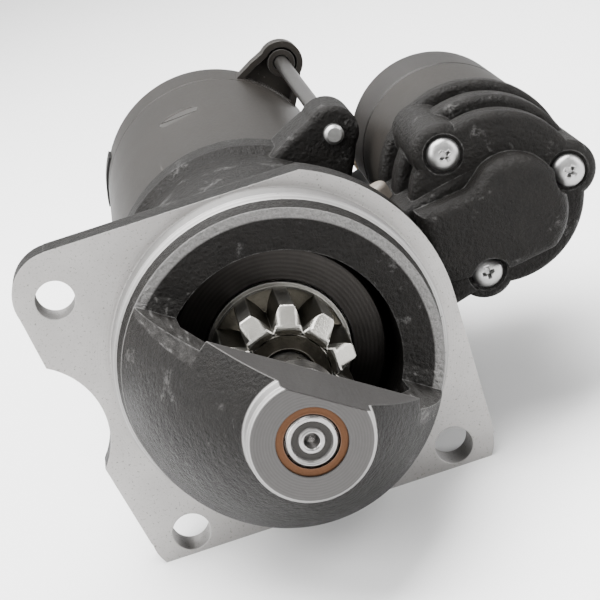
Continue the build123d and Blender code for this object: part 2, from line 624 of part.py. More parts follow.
# ================================================================ solenoid
# Case: drawn steel can with a thick front face.
CASE_WALL = 2.0
CASE_FACE = 3.0
FACE_BORE_R = PLUNGER_R + CLEAR
with BuildPart() as solenoid_case:
    revolve(turned((FACE_BORE_R, CASE_FRONT), (CASE_R - 0.6, CASE_FRONT), (CASE_R, CASE_FRONT + 0.6),
                   (CASE_R, CASE_REAR - 1.8), (CASE_R - 0.5, CASE_REAR - 1.4), (CASE_R - 0.5, CASE_REAR),
                   (CASE_R - CASE_WALL, CASE_REAR), (CASE_R - CASE_WALL, CASE_FRONT + CASE_FACE + 6),
                   (CASE_R - CASE_WALL, CASE_FRONT + CASE_FACE), (FACE_BORE_R, CASE_FRONT + CASE_FACE),
                   axis_at=SOLENOID), axis=axis_along_y(SOLENOID))
    with BuildSketch(across(CASE_FRONT + CASE_FACE)):
        with Locations(*screw_places):
            Circle(BOLT_R)
    extrude(amount=CASE_FACE, mode=Mode.SUBTRACT)
solenoid_case.part.label = "solenoid_case"
export_step(solenoid_case.part, "parts/solenoid_case.step")

# Three pan-head screws with cross recesses hold the solenoid from the front.
HEAD_R = 4.6
HEAD_HIGH = 3.0
with BuildPart() as solenoid_screws:
    for place in screw_places:
        revolve(turned((0, SCREW_SEAT - HEAD_HIGH), (2.2, SCREW_SEAT - HEAD_HIGH + 0.15),
                       (HEAD_R - 0.9, SCREW_SEAT - HEAD_HIGH + 0.9), (HEAD_R, SCREW_SEAT - 0.9),
                       (HEAD_R, SCREW_SEAT), (BOLT_R - 0.1, SCREW_SEAT), (BOLT_R - 0.1, CASE_FRONT + 3),
                       (0, CASE_FRONT + 3), axis_at=place), axis=axis_along_y(place))
    with BuildSketch(across(SCREW_SEAT - HEAD_HIGH + 1.5)):
        with Locations(*screw_places):
            Rectangle(4.8, 1.1, rotation=30)
            Rectangle(1.1, 4.8, rotation=30)
    extrude(amount=3, mode=Mode.SUBTRACT)
solenoid_screws.part.label = "solenoid_screws"
export_step(solenoid_screws.part, "parts/solenoid_screws.step")

# Bobbin and winding round the plunger tube, and the fixed core that attracts the plunger.
BOBBIN = (CASE_FRONT + CASE_FACE + 0.2, 80.5)
with BuildPart() as solenoid_bobbin:
    revolve(turned((FACE_BORE_R, BOBBIN[0]), (23.5, BOBBIN[0]), (23.5, BOBBIN[0] + 1.6),
                   (12, BOBBIN[0] + 1.6), (12, BOBBIN[1] - 1.6), (23.5, BOBBIN[1] - 1.6),
                   (23.5, BOBBIN[1]), (FACE_BORE_R, BOBBIN[1]), axis_at=SOLENOID),
            axis=axis_along_y(SOLENOID))
solenoid_bobbin.part.label = "solenoid_bobbin"
export_step(solenoid_bobbin.part, "parts/solenoid_bobbin.step")

with BuildPart() as solenoid_winding:
    revolve(tube(12, 22.6, BOBBIN[0] + 1.6, BOBBIN[1] - 1.6, axis_at=SOLENOID),
            axis=axis_along_y(SOLENOID))
solenoid_winding.part.label = "solenoid_winding"
export_step(solenoid_winding.part, "parts/solenoid_winding.step")

ROD_R = 3.0
CORE_FRONT = 72.3
with BuildPart() as solenoid_core:
    revolve(turned((ROD_R + CLEAR, CORE_FRONT), (FACE_BORE_R, CORE_FRONT), (FACE_BORE_R, BOBBIN[1]),
                   (CASE_R - CASE_WALL, BOBBIN[1]), (CASE_R - CASE_WALL, CASE_REAR),
                   (ROD_R + CLEAR, CASE_REAR), axis_at=SOLENOID), axis=axis_along_y(SOLENOID))
solenoid_core.part.label = "solenoid_core"
export_step(solenoid_core.part, "parts/solenoid_core.step")

# Plunger with a slotted head, its cross pin, the return spring and the moving contact.
PLUNGER_REAR = 61.0
HEAD_SLOT = 3.5
SPRING_BORE_R = 5.4
SPRING_SEAT = 47.0
with BuildPart() as plunger:
    revolve(turned((0, HOOK_Y - 6), (8, HOOK_Y - 6), (8, HOOK_Y + 9), (PLUNGER_R, HOOK_Y + 11),
                   (PLUNGER_R, PLUNGER_REAR), (SPRING_BORE_R, PLUNGER_REAR),
                   (SPRING_BORE_R, SPRING_SEAT), (0, SPRING_SEAT), axis_at=SOLENOID),
            axis=axis_along_y(SOLENOID))
    with BuildSketch(LEVER_PLANE.offset(-HEAD_SLOT)):
        with Locations((solenoid_u, HOOK_Y)):
            Rectangle(20, 16)
    extrude(amount=2 * HEAD_SLOT, mode=Mode.SUBTRACT)
    with BuildSketch(LEVER_PLANE.offset(-10)):
        with Locations((solenoid_u, HOOK_Y)):
            Circle(HOOK_PIN_R)
    extrude(amount=20, mode=Mode.SUBTRACT)
plunger.part.label = "plunger"
export_step(plunger.part, "parts/plunger.step")

with BuildPart() as plunger_pin:
    with BuildSketch(LEVER_PLANE.offset(-7.4)):
        with Locations((solenoid_u, HOOK_Y)):
            Circle(HOOK_PIN_R)
    extrude(amount=14.8)
plunger_pin.part.label = "plunger_pin"
export_step(plunger_pin.part, "parts/plunger_pin.step")

WIRE_R = 0.6
with BuildPart() as plunger_spring:
    add(coil_spring(ROD_R + 1.25, WIRE_R, SPRING_SEAT + WIRE_R, CORE_FRONT - WIRE_R, 7, centre=SOLENOID))
plunger_spring.part.label = "plunger_spring"
export_step(plunger_spring.part, "parts/plunger_spring.step")

DISC = (86.2, 88.2)
with BuildPart() as contact_rod:
    revolve(turned((0, SPRING_SEAT), (ROD_R, SPRING_SEAT), (ROD_R, DISC[0] - 1.5), (5, DISC[0] - 1.5),
                   (5, DISC[0]), (ROD_R - 0.5, DISC[0]), (ROD_R - 0.5, DISC[1] + 1), (0, DISC[1] + 1),
                   axis_at=SOLENOID), axis=axis_along_y(SOLENOID))
contact_rod.part.label = "contact_rod"
export_step(contact_rod.part, "parts/contact_rod.step")

with BuildPart() as contact_disc:
    revolve(tube(ROD_R - 0.5, 17, DISC[0], DISC[1], axis_at=SOLENOID), axis=axis_along_y(SOLENOID))
contact_disc.part.label = "contact_disc"
export_step(contact_disc.part, "parts/contact_disc.step")

# Terminal cap: moulded cup crimped to the case, closing the contact chamber.
CAP_WALL = 3.0
CAP_FACE = 108.5
TERMINAL_R = 4.0
THREAD_R = 3.7
BATTERY_STUD = polar(13, degrees(lever_angle), SOLENOID)
MOTOR_STUD = polar(13, degrees(lever_angle) + 180, SOLENOID)
BLADE_SPOT = polar(20.2, degrees(lever_angle) + 66, SOLENOID)
with BuildPart() as solenoid_cap:
    revolve(turned((CASE_R - CASE_WALL - 1, CASE_REAR), (CASE_R - 0.5, CASE_REAR), (CASE_R, CASE_REAR + 0.5),
                   (CASE_R, CAP_REAR - 5), (CASE_R - 1.4, CAP_REAR - 3.2), (CASE_R - 2, CAP_REAR - 3.2),
                   (CASE_R - 2, CAP_FACE),
                   (0, CAP_FACE), (0, CAP_FACE - 4), (CASE_R - CAP_WALL - 0.5, CAP_FACE - 4),
                   (CASE_R - CAP_WALL, CASE_REAR + 3), axis_at=SOLENOID), axis=axis_along_y(SOLENOID))
    with BuildSketch(across(CAP_REAR)):
        with Locations(BATTERY_STUD, MOTOR_STUD):
            Circle(8)
    extrude(amount=CAP_REAR - CAP_FACE + 1)
    with BuildSketch(across(CAP_REAR + 1)):
        with Locations(BATTERY_STUD, MOTOR_STUD):
            Circle(TERMINAL_R)
        with Locations(Location((BLADE_SPOT[0], BLADE_SPOT[1], 0), degrees(lever_angle) - 24)):
            Rectangle(6.4, 0.9)
    extrude(amount=20, mode=Mode.SUBTRACT)
solenoid_cap.part.label = "solenoid_cap"
export_step(solenoid_cap.part, "parts/solenoid_cap.step")

# Copper terminal studs with square contact heads, and their nuts and washers.
STUD_REAR = 132.0
CONTACT = (99.5, 104.5)
BATTERY_END = CAP_REAR + 7.5
MOTOR_END = CAP_REAR + 16.5
with BuildPart() as terminal_studs:
    for place, end in ((BATTERY_STUD, BATTERY_END), (MOTOR_STUD, MOTOR_END)):
        with BuildSketch(across(end)):
            with Locations(place):
                Circle(TERMINAL_R)
        extrude(amount=end - CONTACT[1])
    with BuildSketch(across(STUD_REAR)):
        with Locations(BATTERY_STUD, MOTOR_STUD):
            Circle(THREAD_R)
    extrude(amount=STUD_REAR - BATTERY_END)
    chamfer(terminal_studs.edges().group_by(Axis.Y)[-1], length=0.8)
    with BuildSketch(across(CONTACT[1])):
        with Locations(BATTERY_STUD, MOTOR_STUD):
            Rectangle(9, 13, rotation=degrees(lever_angle))
    extrude(amount=CONTACT[1] - CONTACT[0])
terminal_studs.part.label = "terminal_studs"
export_step(terminal_studs.part, "parts/terminal_studs.step")

NUT_HIGH = 6.0
with BuildPart() as terminal_nuts:
    for place, base in ((BATTERY_STUD, CAP_REAR), (MOTOR_STUD, CAP_REAR), (MOTOR_STUD, CAP_REAR + 9.2)):
        with BuildSketch(across(base + 1)):
            with Locations(place):
                Circle(7.4)
                Circle(TERMINAL_R, mode=Mode.SUBTRACT)
        extrude(amount=1)
        with BuildSketch(across(base + 1 + NUT_HIGH)):
            with Locations(place):
                RegularPolygon(7.0, 6)
                Circle(TERMINAL_R, mode=Mode.SUBTRACT)
        extrude(amount=NUT_HIGH)
terminal_nuts.part.label = "terminal_nuts"
export_step(terminal_nuts.part, "parts/terminal_nuts.step")

# Blade terminal for the start signal.
with BuildPart() as start_blade:
    with BuildSketch(across(CAP_REAR + 8)):
        with Locations(Location((BLADE_SPOT[0], BLADE_SPOT[1], 0), degrees(lever_angle) - 24)):
            Rectangle(6.3, 0.8)
    extrude(amount=CAP_REAR + 8 - CAP_FACE + 4)
start_blade.part.label = "start_blade"
export_step(start_blade.part, "parts/start_blade.step")

# ================================================================ motor
# Yoke: rolled steel tube, drilled for the pole screws and the motor lead.
LEAD_Y = 194.6
LEAD_HOLE_R = 4.6
CONE_R = 8.0
SEAM = 0.7                 # chamfer where two shells meet
with BuildPart() as yoke:
    revolve(turned((YOKE_INNER_R, HOUSING_REAR), (YOKE_R - SEAM, HOUSING_REAR), (YOKE_R, HOUSING_REAR + SEAM),
                   (YOKE_R, YOKE_REAR - SEAM), (YOKE_R - SEAM, YOKE_REAR), (YOKE_INNER_R, YOKE_REAR)),
            axis=Axis.Y)
    for angle in pole_angles:
        x, z = polar(1, angle)
        with BuildSketch(Plane(origin=(0, POLE_CENTRE, 0), z_dir=(x, 0, z))):
            Circle(5)
        extrude(amount=YOKE_R + 1, mode=Mode.SUBTRACT)
        with BuildSketch(Plane(origin=(x * (YOKE_R + 1), POLE_CENTRE, z * (YOKE_R + 1)), z_dir=(-x, 0, -z))):
            Circle(CONE_R + 1)
        extrude(amount=4, taper=45, mode=Mode.SUBTRACT)
    with BuildSketch(Plane(origin=(0, LEAD_Y, 0), z_dir=LEVER_PLANE.x_dir)):
        Circle(LEAD_HOLE_R)
    extrude(amount=YOKE_R + 1, mode=Mode.SUBTRACT)
yoke.part.label = "yoke"
export_step(yoke.part, "parts/yoke.step")

# Pole shoes: four curved iron blocks with wide tips towards the armature.
TIP_HALF = 30.0            # half the angle that a pole tip spans, degrees
STEM_HALF_WIDTH = 10.0
TIP_THICK = 2.6


def sector(inner, outer, half_angle, centre_angle):
    """Ring sector in the X-Z plane."""
    with BuildSketch() as outline:
        with BuildLine():
            arc_in = CenterArc((0, 0), inner, centre_angle - half_angle, 2 * half_angle)
            arc_out = CenterArc((0, 0), outer, centre_angle - half_angle, 2 * half_angle)
            Line(arc_in @ 0, arc_out @ 0)
            Line(arc_in @ 1, arc_out @ 1)
        make_face()
    return outline.sketch


with BuildPart() as pole_shoes:
    with BuildSketch(across(POLE_CENTRE + POLE_HALF)):
        for angle in pole_angles:
            add(sector(POLE_INNER_R, POLE_INNER_R + TIP_THICK, TIP_HALF, angle))
            add(sector(POLE_INNER_R, YOKE_INNER_R, 16, angle))
    extrude(amount=2 * POLE_HALF)
    for angle in pole_angles:
        x, z = polar(1, angle)
        with BuildSketch(Plane(origin=(x * 31, POLE_CENTRE, z * 31), z_dir=(x, 0, z))):
            Circle(4)
        extrude(amount=8, mode=Mode.SUBTRACT)
pole_shoes.part.label = "pole_shoes"
export_step(pole_shoes.part, "parts/pole_shoes.step")

# Pole screws: countersunk, slotted heads just under the yoke's surface.
with BuildPart() as pole_screws:
    for angle in pole_angles:
        x, z = polar(1, angle)
        with BuildSketch(Plane(origin=(x * 32, POLE_CENTRE, z * 32), z_dir=(x, 0, z))):
            Circle(3.9)
        extrude(amount=YOKE_R - 2 - 32)
        with BuildSketch(Plane(origin=(x * (YOKE_R - 0.6), POLE_CENTRE, z * (YOKE_R - 0.6)),
                               z_dir=(-x, 0, -z))):
            Circle(CONE_R - 0.9)
        extrude(amount=2.4, taper=45)
        slot_plane = Plane(origin=(x * (YOKE_R - 1.8), POLE_CENTRE, z * (YOKE_R - 1.8)),
                           x_dir=(0, 1, 0), z_dir=(x, 0, z))
        with BuildSketch(slot_plane):
            Rectangle(16, 1.6, rotation=60)
        extrude(amount=3, mode=Mode.SUBTRACT)
pole_screws.part.label = "pole_screws"
export_step(pole_screws.part, "parts/pole_screws.step")

# Field coils: flat copper strip wound round each pole.
COIL_END = 8.0
with BuildPart() as field_coils:
    with BuildSketch(across(POLE_CENTRE + POLE_HALF + COIL_END)):
        for angle in pole_angles:
            add(sector(POLE_INNER_R + TIP_THICK + 0.4, YOKE_INNER_R - 0.4, 29, angle))
    extrude(amount=2 * (POLE_HALF + COIL_END))
    with BuildSketch(across(POLE_CENTRE + POLE_HALF + 0.4)):
        for angle in pole_angles:
            add(sector(POLE_INNER_R, YOKE_INNER_R, 16.8, angle))
    extrude(amount=2 * POLE_HALF + 0.8, mode=Mode.SUBTRACT)
field_coils.part.label = "field_coils"
export_step(field_coils.part, "parts/field_coils.step")

# Brush holder: steel plate with four boxes, clamped in the rear cap.
PLATE = (213.5, 215.0)
BOX_WALL = 1.0
BRUSH_WIDE = 12.0
BRUSH_LONG = 13.0
BRUSH_OUTER_R = 30.0
PLATE_R = 36.4
BRUSH_ANGLE = POLE_ANGLE - 45
brush_angles = [BRUSH_ANGLE + 90 * k for k in range(4)]
with BuildPart() as brush_holder:
    revolve(tube(COMMUTATOR_R + 1.5, PLATE_R, PLATE[0], PLATE[1]), axis=Axis.Y)
    with BuildSketch(across(PLATE[0])):
        for angle in brush_angles:
            with Locations(Location((*polar(26.5, angle), 0), angle)):
                Rectangle(11, BRUSH_WIDE + 2 * BOX_WALL + 0.4)
    extrude(amount=BRUSH_LONG + 1.6)
    with BuildSketch(across(PLATE[0] - 0.4)):
        for angle in brush_angles:
            with Locations(Location((*polar(26.5, angle), 0), angle)):
                Rectangle(14, BRUSH_WIDE + 0.4)
    extrude(amount=BRUSH_LONG + 0.4, mode=Mode.SUBTRACT)
brush_holder.part.label = "brush_holder"
export_step(brush_holder.part, "parts/brush_holder.step")

# Carbon brushes, faced to the commutator's curve.
with BuildPart() as brushes:
    with BuildSketch(across(PLATE[0] - 0.6)):
        for angle in brush_angles:
            with Locations(Location((*polar((COMMUTATOR_R + BRUSH_OUTER_R) / 2, angle), 0), angle)):
                Rectangle(BRUSH_OUTER_R - COMMUTATOR_R + 1, BRUSH_WIDE)
        Circle(COMMUTATOR_R + RUN_FIT, mode=Mode.SUBTRACT)
    extrude(amount=BRUSH_LONG)
brushes.part.label = "brushes"
export_step(brushes.part, "parts/brushes.step")

# Brush springs: short coils that press each brush inwards from a lug on the plate's rim.
with BuildPart() as brush_springs:
    for angle in brush_angles:
        x, z = polar(1, angle)
        centre_y = PLATE[0] - 0.6 - BRUSH_LONG / 2
        base = BRUSH_OUTER_R + 0.5
        with BuildSketch(Plane(origin=(x * base, centre_y, z * base), z_dir=(x, 0, z))):
            Circle(4.2)
            Circle(2.8, mode=Mode.SUBTRACT)
        extrude(amount=4.4)
brush_springs.part.label = "brush_springs"
export_step(brush_springs.part, "parts/brush_springs.step")

# Motor lead: stiff insulated conductor from the motor stud into the yoke, with a rubber grommet.
LEAD_R = 2.8
LEAD_U = 48.0              # distance of the lead's long run from the motor axis
EYE_REAR = CAP_REAR + 9.2
with BuildPart() as motor_lead:
    with BuildSketch(across(EYE_REAR)):
        with Locations(MOTOR_STUD):
            Circle(7.4)
            Circle(TERMINAL_R + RUN_FIT, mode=Mode.SUBTRACT)
        with Locations(Location((*polar(LEAD_U + 2, degrees(lever_angle)), 0), degrees(lever_angle))):
            Rectangle(6, 6)
    extrude(amount=2.2)
    with BuildLine(LEVER_PLANE) as lead_path:
        FilletPolyline((LEAD_U, EYE_REAR - 2), (LEAD_U, LEAD_Y), (30, LEAD_Y), radius=4.4)
    with BuildSketch(Plane(origin=lead_path.line @ 0, z_dir=lead_path.line % 0)):
        Circle(LEAD_R)
    sweep(path=lead_path.line)
motor_lead.part.label = "motor_lead"
export_step(motor_lead.part, "parts/motor_lead.step")


def across_lead(distance):
    """Plane square to the lead's entry into the yoke, a distance out from the motor axis."""
    return Plane(origin=LEVER_PLANE.x_dir * distance + Vector(0, LEAD_Y, 0), z_dir=LEVER_PLANE.x_dir)


with BuildPart() as lead_grommet:
    with BuildSketch(across_lead(35)):
        Circle(LEAD_HOLE_R)
    extrude(amount=8)
    with BuildSketch(across_lead(YOKE_R + 0.1)):
        Circle(LEAD_HOLE_R + 2)
    extrude(amount=2.6)
    with BuildSketch(across_lead(30)):
        Circle(LEAD_R + RUN_FIT)
    extrude(amount=20, mode=Mode.SUBTRACT)
lead_grommet.part.label = "lead_grommet"
export_step(lead_grommet.part, "parts/lead_grommet.step")

# ================================================================ rear end
# Rear cap: drawn cup with a boss for the rear bush and two ears for the through bolts.
CAP_EAR = (206.0, 213.0)
CAP_INNER_R = 37.6
REAR_BUSH_R = 9.0
INSPECTION_ANGLE = 162.0
with BuildPart() as rear_cap:
    revolve(turned((0, YOKE_REAR), (YOKE_R - SEAM, YOKE_REAR), (YOKE_R, YOKE_REAR + SEAM), (YOKE_R, END_REAR),
                   (16, END_REAR), (13, END_REAR + 4), (0, END_REAR + 4),
                   rounds=(((YOKE_R, END_REAR), 6), ((16, END_REAR), 3), ((13, END_REAR + 4), 1.2))),
            axis=Axis.Y)
    with BuildSketch(across(CAP_EAR[1])):
        add(ear(EAR_R, 24))
        add(ear(EAR_R, 24, 180))
    extrude(amount=CAP_EAR[1] - CAP_EAR[0])
    with BuildSketch(across(CAP_EAR[0] + 3.5)):
        add(offset(ear(EAR_R, 24), amount=-2.2, mode=Mode.PRIVATE))
        add(offset(ear(EAR_R, 24, 180), amount=-2.2, mode=Mode.PRIVATE))
        with Locations(*bolt_places):
            Circle(5.0, mode=Mode.SUBTRACT)
        Circle(YOKE_R + 0.5, mode=Mode.SUBTRACT)
    extrude(amount=3.5, mode=Mode.SUBTRACT)
    revolve(turned((0, YOKE_REAR), (CAP_INNER_R, YOKE_REAR), (CAP_INNER_R, END_REAR - 6),
                   (CAP_INNER_R - 3, END_REAR - 3), (12.5, END_REAR - 3), (12.5, 218),
                   (0, 218)), axis=Axis.Y, mode=Mode.SUBTRACT)
    revolve(tube(0, REAR_BUSH_R, 217, END_REAR + 5), axis=Axis.Y, mode=Mode.SUBTRACT)
    with BuildSketch(across(CAP_EAR[1])):
        with Locations(*bolt_places):
            Circle(STUD_R)
    extrude(amount=CAP_EAR[1] - CAP_EAR[0], mode=Mode.SUBTRACT)
    with BuildSketch(across(227)):
        add(sector(CAP_INNER_R - 2, YOKE_R + 1, 13, INSPECTION_ANGLE))
    extrude(amount=13, mode=Mode.SUBTRACT)
rear_cap.part.label = "rear_cap"
export_step(rear_cap.part, "parts/rear_cap.step")

# Rubber plug in the cap's inspection opening.
with BuildPart() as inspection_plug:
    with BuildSketch(across(227)):
        add(sector(CAP_INNER_R, YOKE_R + 0.8, 13, INSPECTION_ANGLE))
    extrude(amount=13)
inspection_plug.part.label = "inspection_plug"
export_step(inspection_plug.part, "parts/inspection_plug.step")

with BuildPart() as rear_bush:
    revolve(tube(REAR_JOURNAL_R + RUN_FIT, REAR_BUSH_R, 218, 231), axis=Axis.Y)
rear_bush.part.label = "rear_bush"
export_step(rear_bush.part, "parts/rear_bush.step")

# Thrust washer between the shaft's shoulder and the rear bush.
with BuildPart() as thrust_washer:
    revolve(tube(REAR_JOURNAL_R + RUN_FIT, 8.6, 217.1, 217.9), axis=Axis.Y)
thrust_washer.part.label = "thrust_washer"
export_step(thrust_washer.part, "parts/thrust_washer.step")

# Dust cap pressed over the rear bush boss.
with BuildPart() as dust_cap:
    revolve(turned((0, END_REAR + 2.6), (REAR_BUSH_R, END_REAR + 2.6), (REAR_BUSH_R, END_REAR + 4.6),
                   (REAR_BUSH_R - 0.6, END_REAR + 5.2), (0, END_REAR + 5.2)), axis=Axis.Y)
dust_cap.part.label = "dust_cap"
export_step(dust_cap.part, "parts/dust_cap.step")

# Through bolts: hexagon heads behind the cap's ears, threaded ends in the housing's ears.
BOLT_HEAD = 4.5
with BuildPart() as through_bolts:
    with BuildSketch(across(CAP_EAR[1])):
        with Locations(*bolt_places):
            Circle(BOLT_R)
    extrude(amount=CAP_EAR[1] - EAR_FRONT)
    with BuildSketch(across(HOUSING_REAR + 6)):
        with Locations(*bolt_places):
            Circle(STUD_R - 0.05)
    extrude(amount=HOUSING_REAR + 6 - EAR_FRONT + 3)
    chamfer(through_bolts.edges().group_by(Axis.Y)[0], length=0.8)
    with BuildSketch(across(CAP_EAR[1] + BOLT_HEAD)):
        with Locations(*bolt_places):
            RegularPolygon(5.6, 6)
    extrude(amount=BOLT_HEAD)
through_bolts.part.label = "through_bolts"
export_step(through_bolts.part, "parts/through_bolts.step")
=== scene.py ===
from math import atan2, cos, pi, radians, sin

import bmesh
import bpy
from mathutils import Matrix, Vector


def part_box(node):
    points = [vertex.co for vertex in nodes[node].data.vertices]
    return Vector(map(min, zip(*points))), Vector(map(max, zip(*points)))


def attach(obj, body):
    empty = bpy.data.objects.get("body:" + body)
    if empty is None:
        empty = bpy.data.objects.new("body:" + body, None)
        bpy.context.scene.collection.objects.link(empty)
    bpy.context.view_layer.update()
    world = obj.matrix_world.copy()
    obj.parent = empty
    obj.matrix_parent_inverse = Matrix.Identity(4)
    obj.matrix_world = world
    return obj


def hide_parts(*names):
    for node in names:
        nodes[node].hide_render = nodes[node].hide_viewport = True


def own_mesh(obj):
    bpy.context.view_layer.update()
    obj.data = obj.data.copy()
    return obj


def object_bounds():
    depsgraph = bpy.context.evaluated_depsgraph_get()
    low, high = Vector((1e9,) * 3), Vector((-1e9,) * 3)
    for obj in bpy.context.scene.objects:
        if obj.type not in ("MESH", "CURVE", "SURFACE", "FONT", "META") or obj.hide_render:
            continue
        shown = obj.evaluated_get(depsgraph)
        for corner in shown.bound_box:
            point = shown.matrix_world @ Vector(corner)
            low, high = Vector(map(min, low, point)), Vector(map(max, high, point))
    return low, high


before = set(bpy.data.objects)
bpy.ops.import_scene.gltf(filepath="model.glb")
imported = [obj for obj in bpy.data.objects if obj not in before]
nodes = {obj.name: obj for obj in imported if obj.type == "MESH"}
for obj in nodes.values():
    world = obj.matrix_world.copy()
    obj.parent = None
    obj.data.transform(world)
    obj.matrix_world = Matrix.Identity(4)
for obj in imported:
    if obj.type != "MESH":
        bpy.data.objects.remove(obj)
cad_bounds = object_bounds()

MM = 0.001

# ---------------------------------------------------------------- floor, light and camera
# The starter lies on a pale studio sweep under soft boxes; the camera looks a little down
# its nose with the flange's lower edge tipped to the left.
floor_level = cad_bounds[0][2]
FLOOR_HALF = 3.0
floor_mesh = bpy.data.meshes.new("floor")
sweep_rows = [(-3.0, 0.0), (1.6, 0.0), (2.0, 0.08), (2.3, 0.32), (2.45, 0.75), (2.5, 3.2)]
floor_mesh.from_pydata(
    [(side * FLOOR_HALF, row_y, floor_level + row_z) for row_y, row_z in sweep_rows for side in (-1, 1)], [],
    [(2 * k, 2 * k + 1, 2 * k + 3, 2 * k + 2) for k in range(len(sweep_rows) - 1)])
floor = bpy.data.objects.new("studio_floor", floor_mesh)
bpy.context.scene.collection.objects.link(floor)
smooth_floor = floor.modifiers.new("sweep", "SUBSURF")
smooth_floor.levels = smooth_floor.render_levels = 3

world = bpy.data.worlds.new("studio")
world.use_nodes = True
world.node_tree.nodes["Background"].inputs["Color"].default_value = (1.0, 1.0, 1.0, 1)
world.node_tree.nodes["Background"].inputs["Strength"].default_value = 0.7
bpy.context.scene.world = world


def soft_box(name, place, aim, width, height, watts):
    """Rectangular soft light that faces a point."""
    data = bpy.data.lights.new(name, "AREA")
    data.shape = "RECTANGLE"
    data.size, data.size_y, data.energy = width, height, watts
    lamp = bpy.data.objects.new(name, data)
    lamp.location = place
    lamp.rotation_euler = (Vector(aim) - Vector(place)).to_track_quat("-Z", "Y").to_euler()
    bpy.context.scene.collection.objects.link(lamp)


centre = (0.01, 0.03, 0.0)
soft_box("top_box", (-0.15, 0.15, 1.1), centre, 1.2, 1.2, 78)
soft_box("left_box", (-1.0, -0.55, 0.55), centre, 0.5, 1.1, 24)
soft_box("right_box", (1.05, -0.35, 0.45), centre, 0.5, 1.1, 15)
soft_box("nose_box", (0.1, -1.1, 0.75), centre, 1.2, 0.6, 2.5)

camera_data = bpy.data.cameras.new("camera")
camera_data.lens = 110.84
camera_data.sensor_width = 36.0
camera_data.clip_start, camera_data.clip_end = 0.01, 20
camera = bpy.data.objects.new("camera", camera_data)
view_right = Vector((0.950, -0.119, -0.288))
view_up = Vector((0.310, 0.271, 0.911))
view_ahead = Vector((0.031, 0.955, -0.294))
camera.matrix_world = Matrix.Translation((-0.00557, -0.46666, 0.15531)) @ Matrix(
    (view_right, view_up, -view_ahead)).transposed().to_4x4()
bpy.context.scene.collection.objects.link(camera)
bpy.context.scene.camera = camera

# ---------------------------------------------------------------- drive-end housing
# Grey-iron casting: sand-cast nose, barrel, ears and solenoid chamber under black paint, with
# the flange face, register, boss and bolt holes machined bright after painting.


class Reading:
    """One output of a finish's node; arithmetic on it adds Math nodes."""

    def __init__(self, finish, socket):
        self.finish, self.socket = finish, socket

    def maths(self, operation, *terms):
        return self.finish.node("ShaderNodeMath", {"operation": operation}, *terms)

    def __add__(self, other): return self.maths("ADD", self, other)
    def __radd__(self, other): return self.maths("ADD", other, self)
    def __sub__(self, other): return self.maths("SUBTRACT", self, other)
    def __rsub__(self, other): return self.maths("SUBTRACT", other, self)
    def __mul__(self, other): return self.maths("MULTIPLY", self, other)
    def __rmul__(self, other): return self.maths("MULTIPLY", other, self)
    def __truediv__(self, other): return self.maths("DIVIDE", self, other)
    def __neg__(self): return self.maths("MULTIPLY", self, -1)
    def __abs__(self): return self.maths("ABSOLUTE", self)
    def __pow__(self, other): return self.maths("POWER", self, other)
    def sine(self): return self.maths("SINE", self)
    def above(self, edge, soft): return self.finish.node(
        "ShaderNodeMath", {"operation": "ADD", "use_clamp": True}, (self - edge) * (1 / soft), 0.5)
    def below(self, edge, soft): return self.finish.node(
        "ShaderNodeMath", {"operation": "SUBTRACT", "use_clamp": True}, 0.5, (self - edge) * (1 / soft))
    def near(self, place, half, soft): return abs(self - place).below(half, soft)


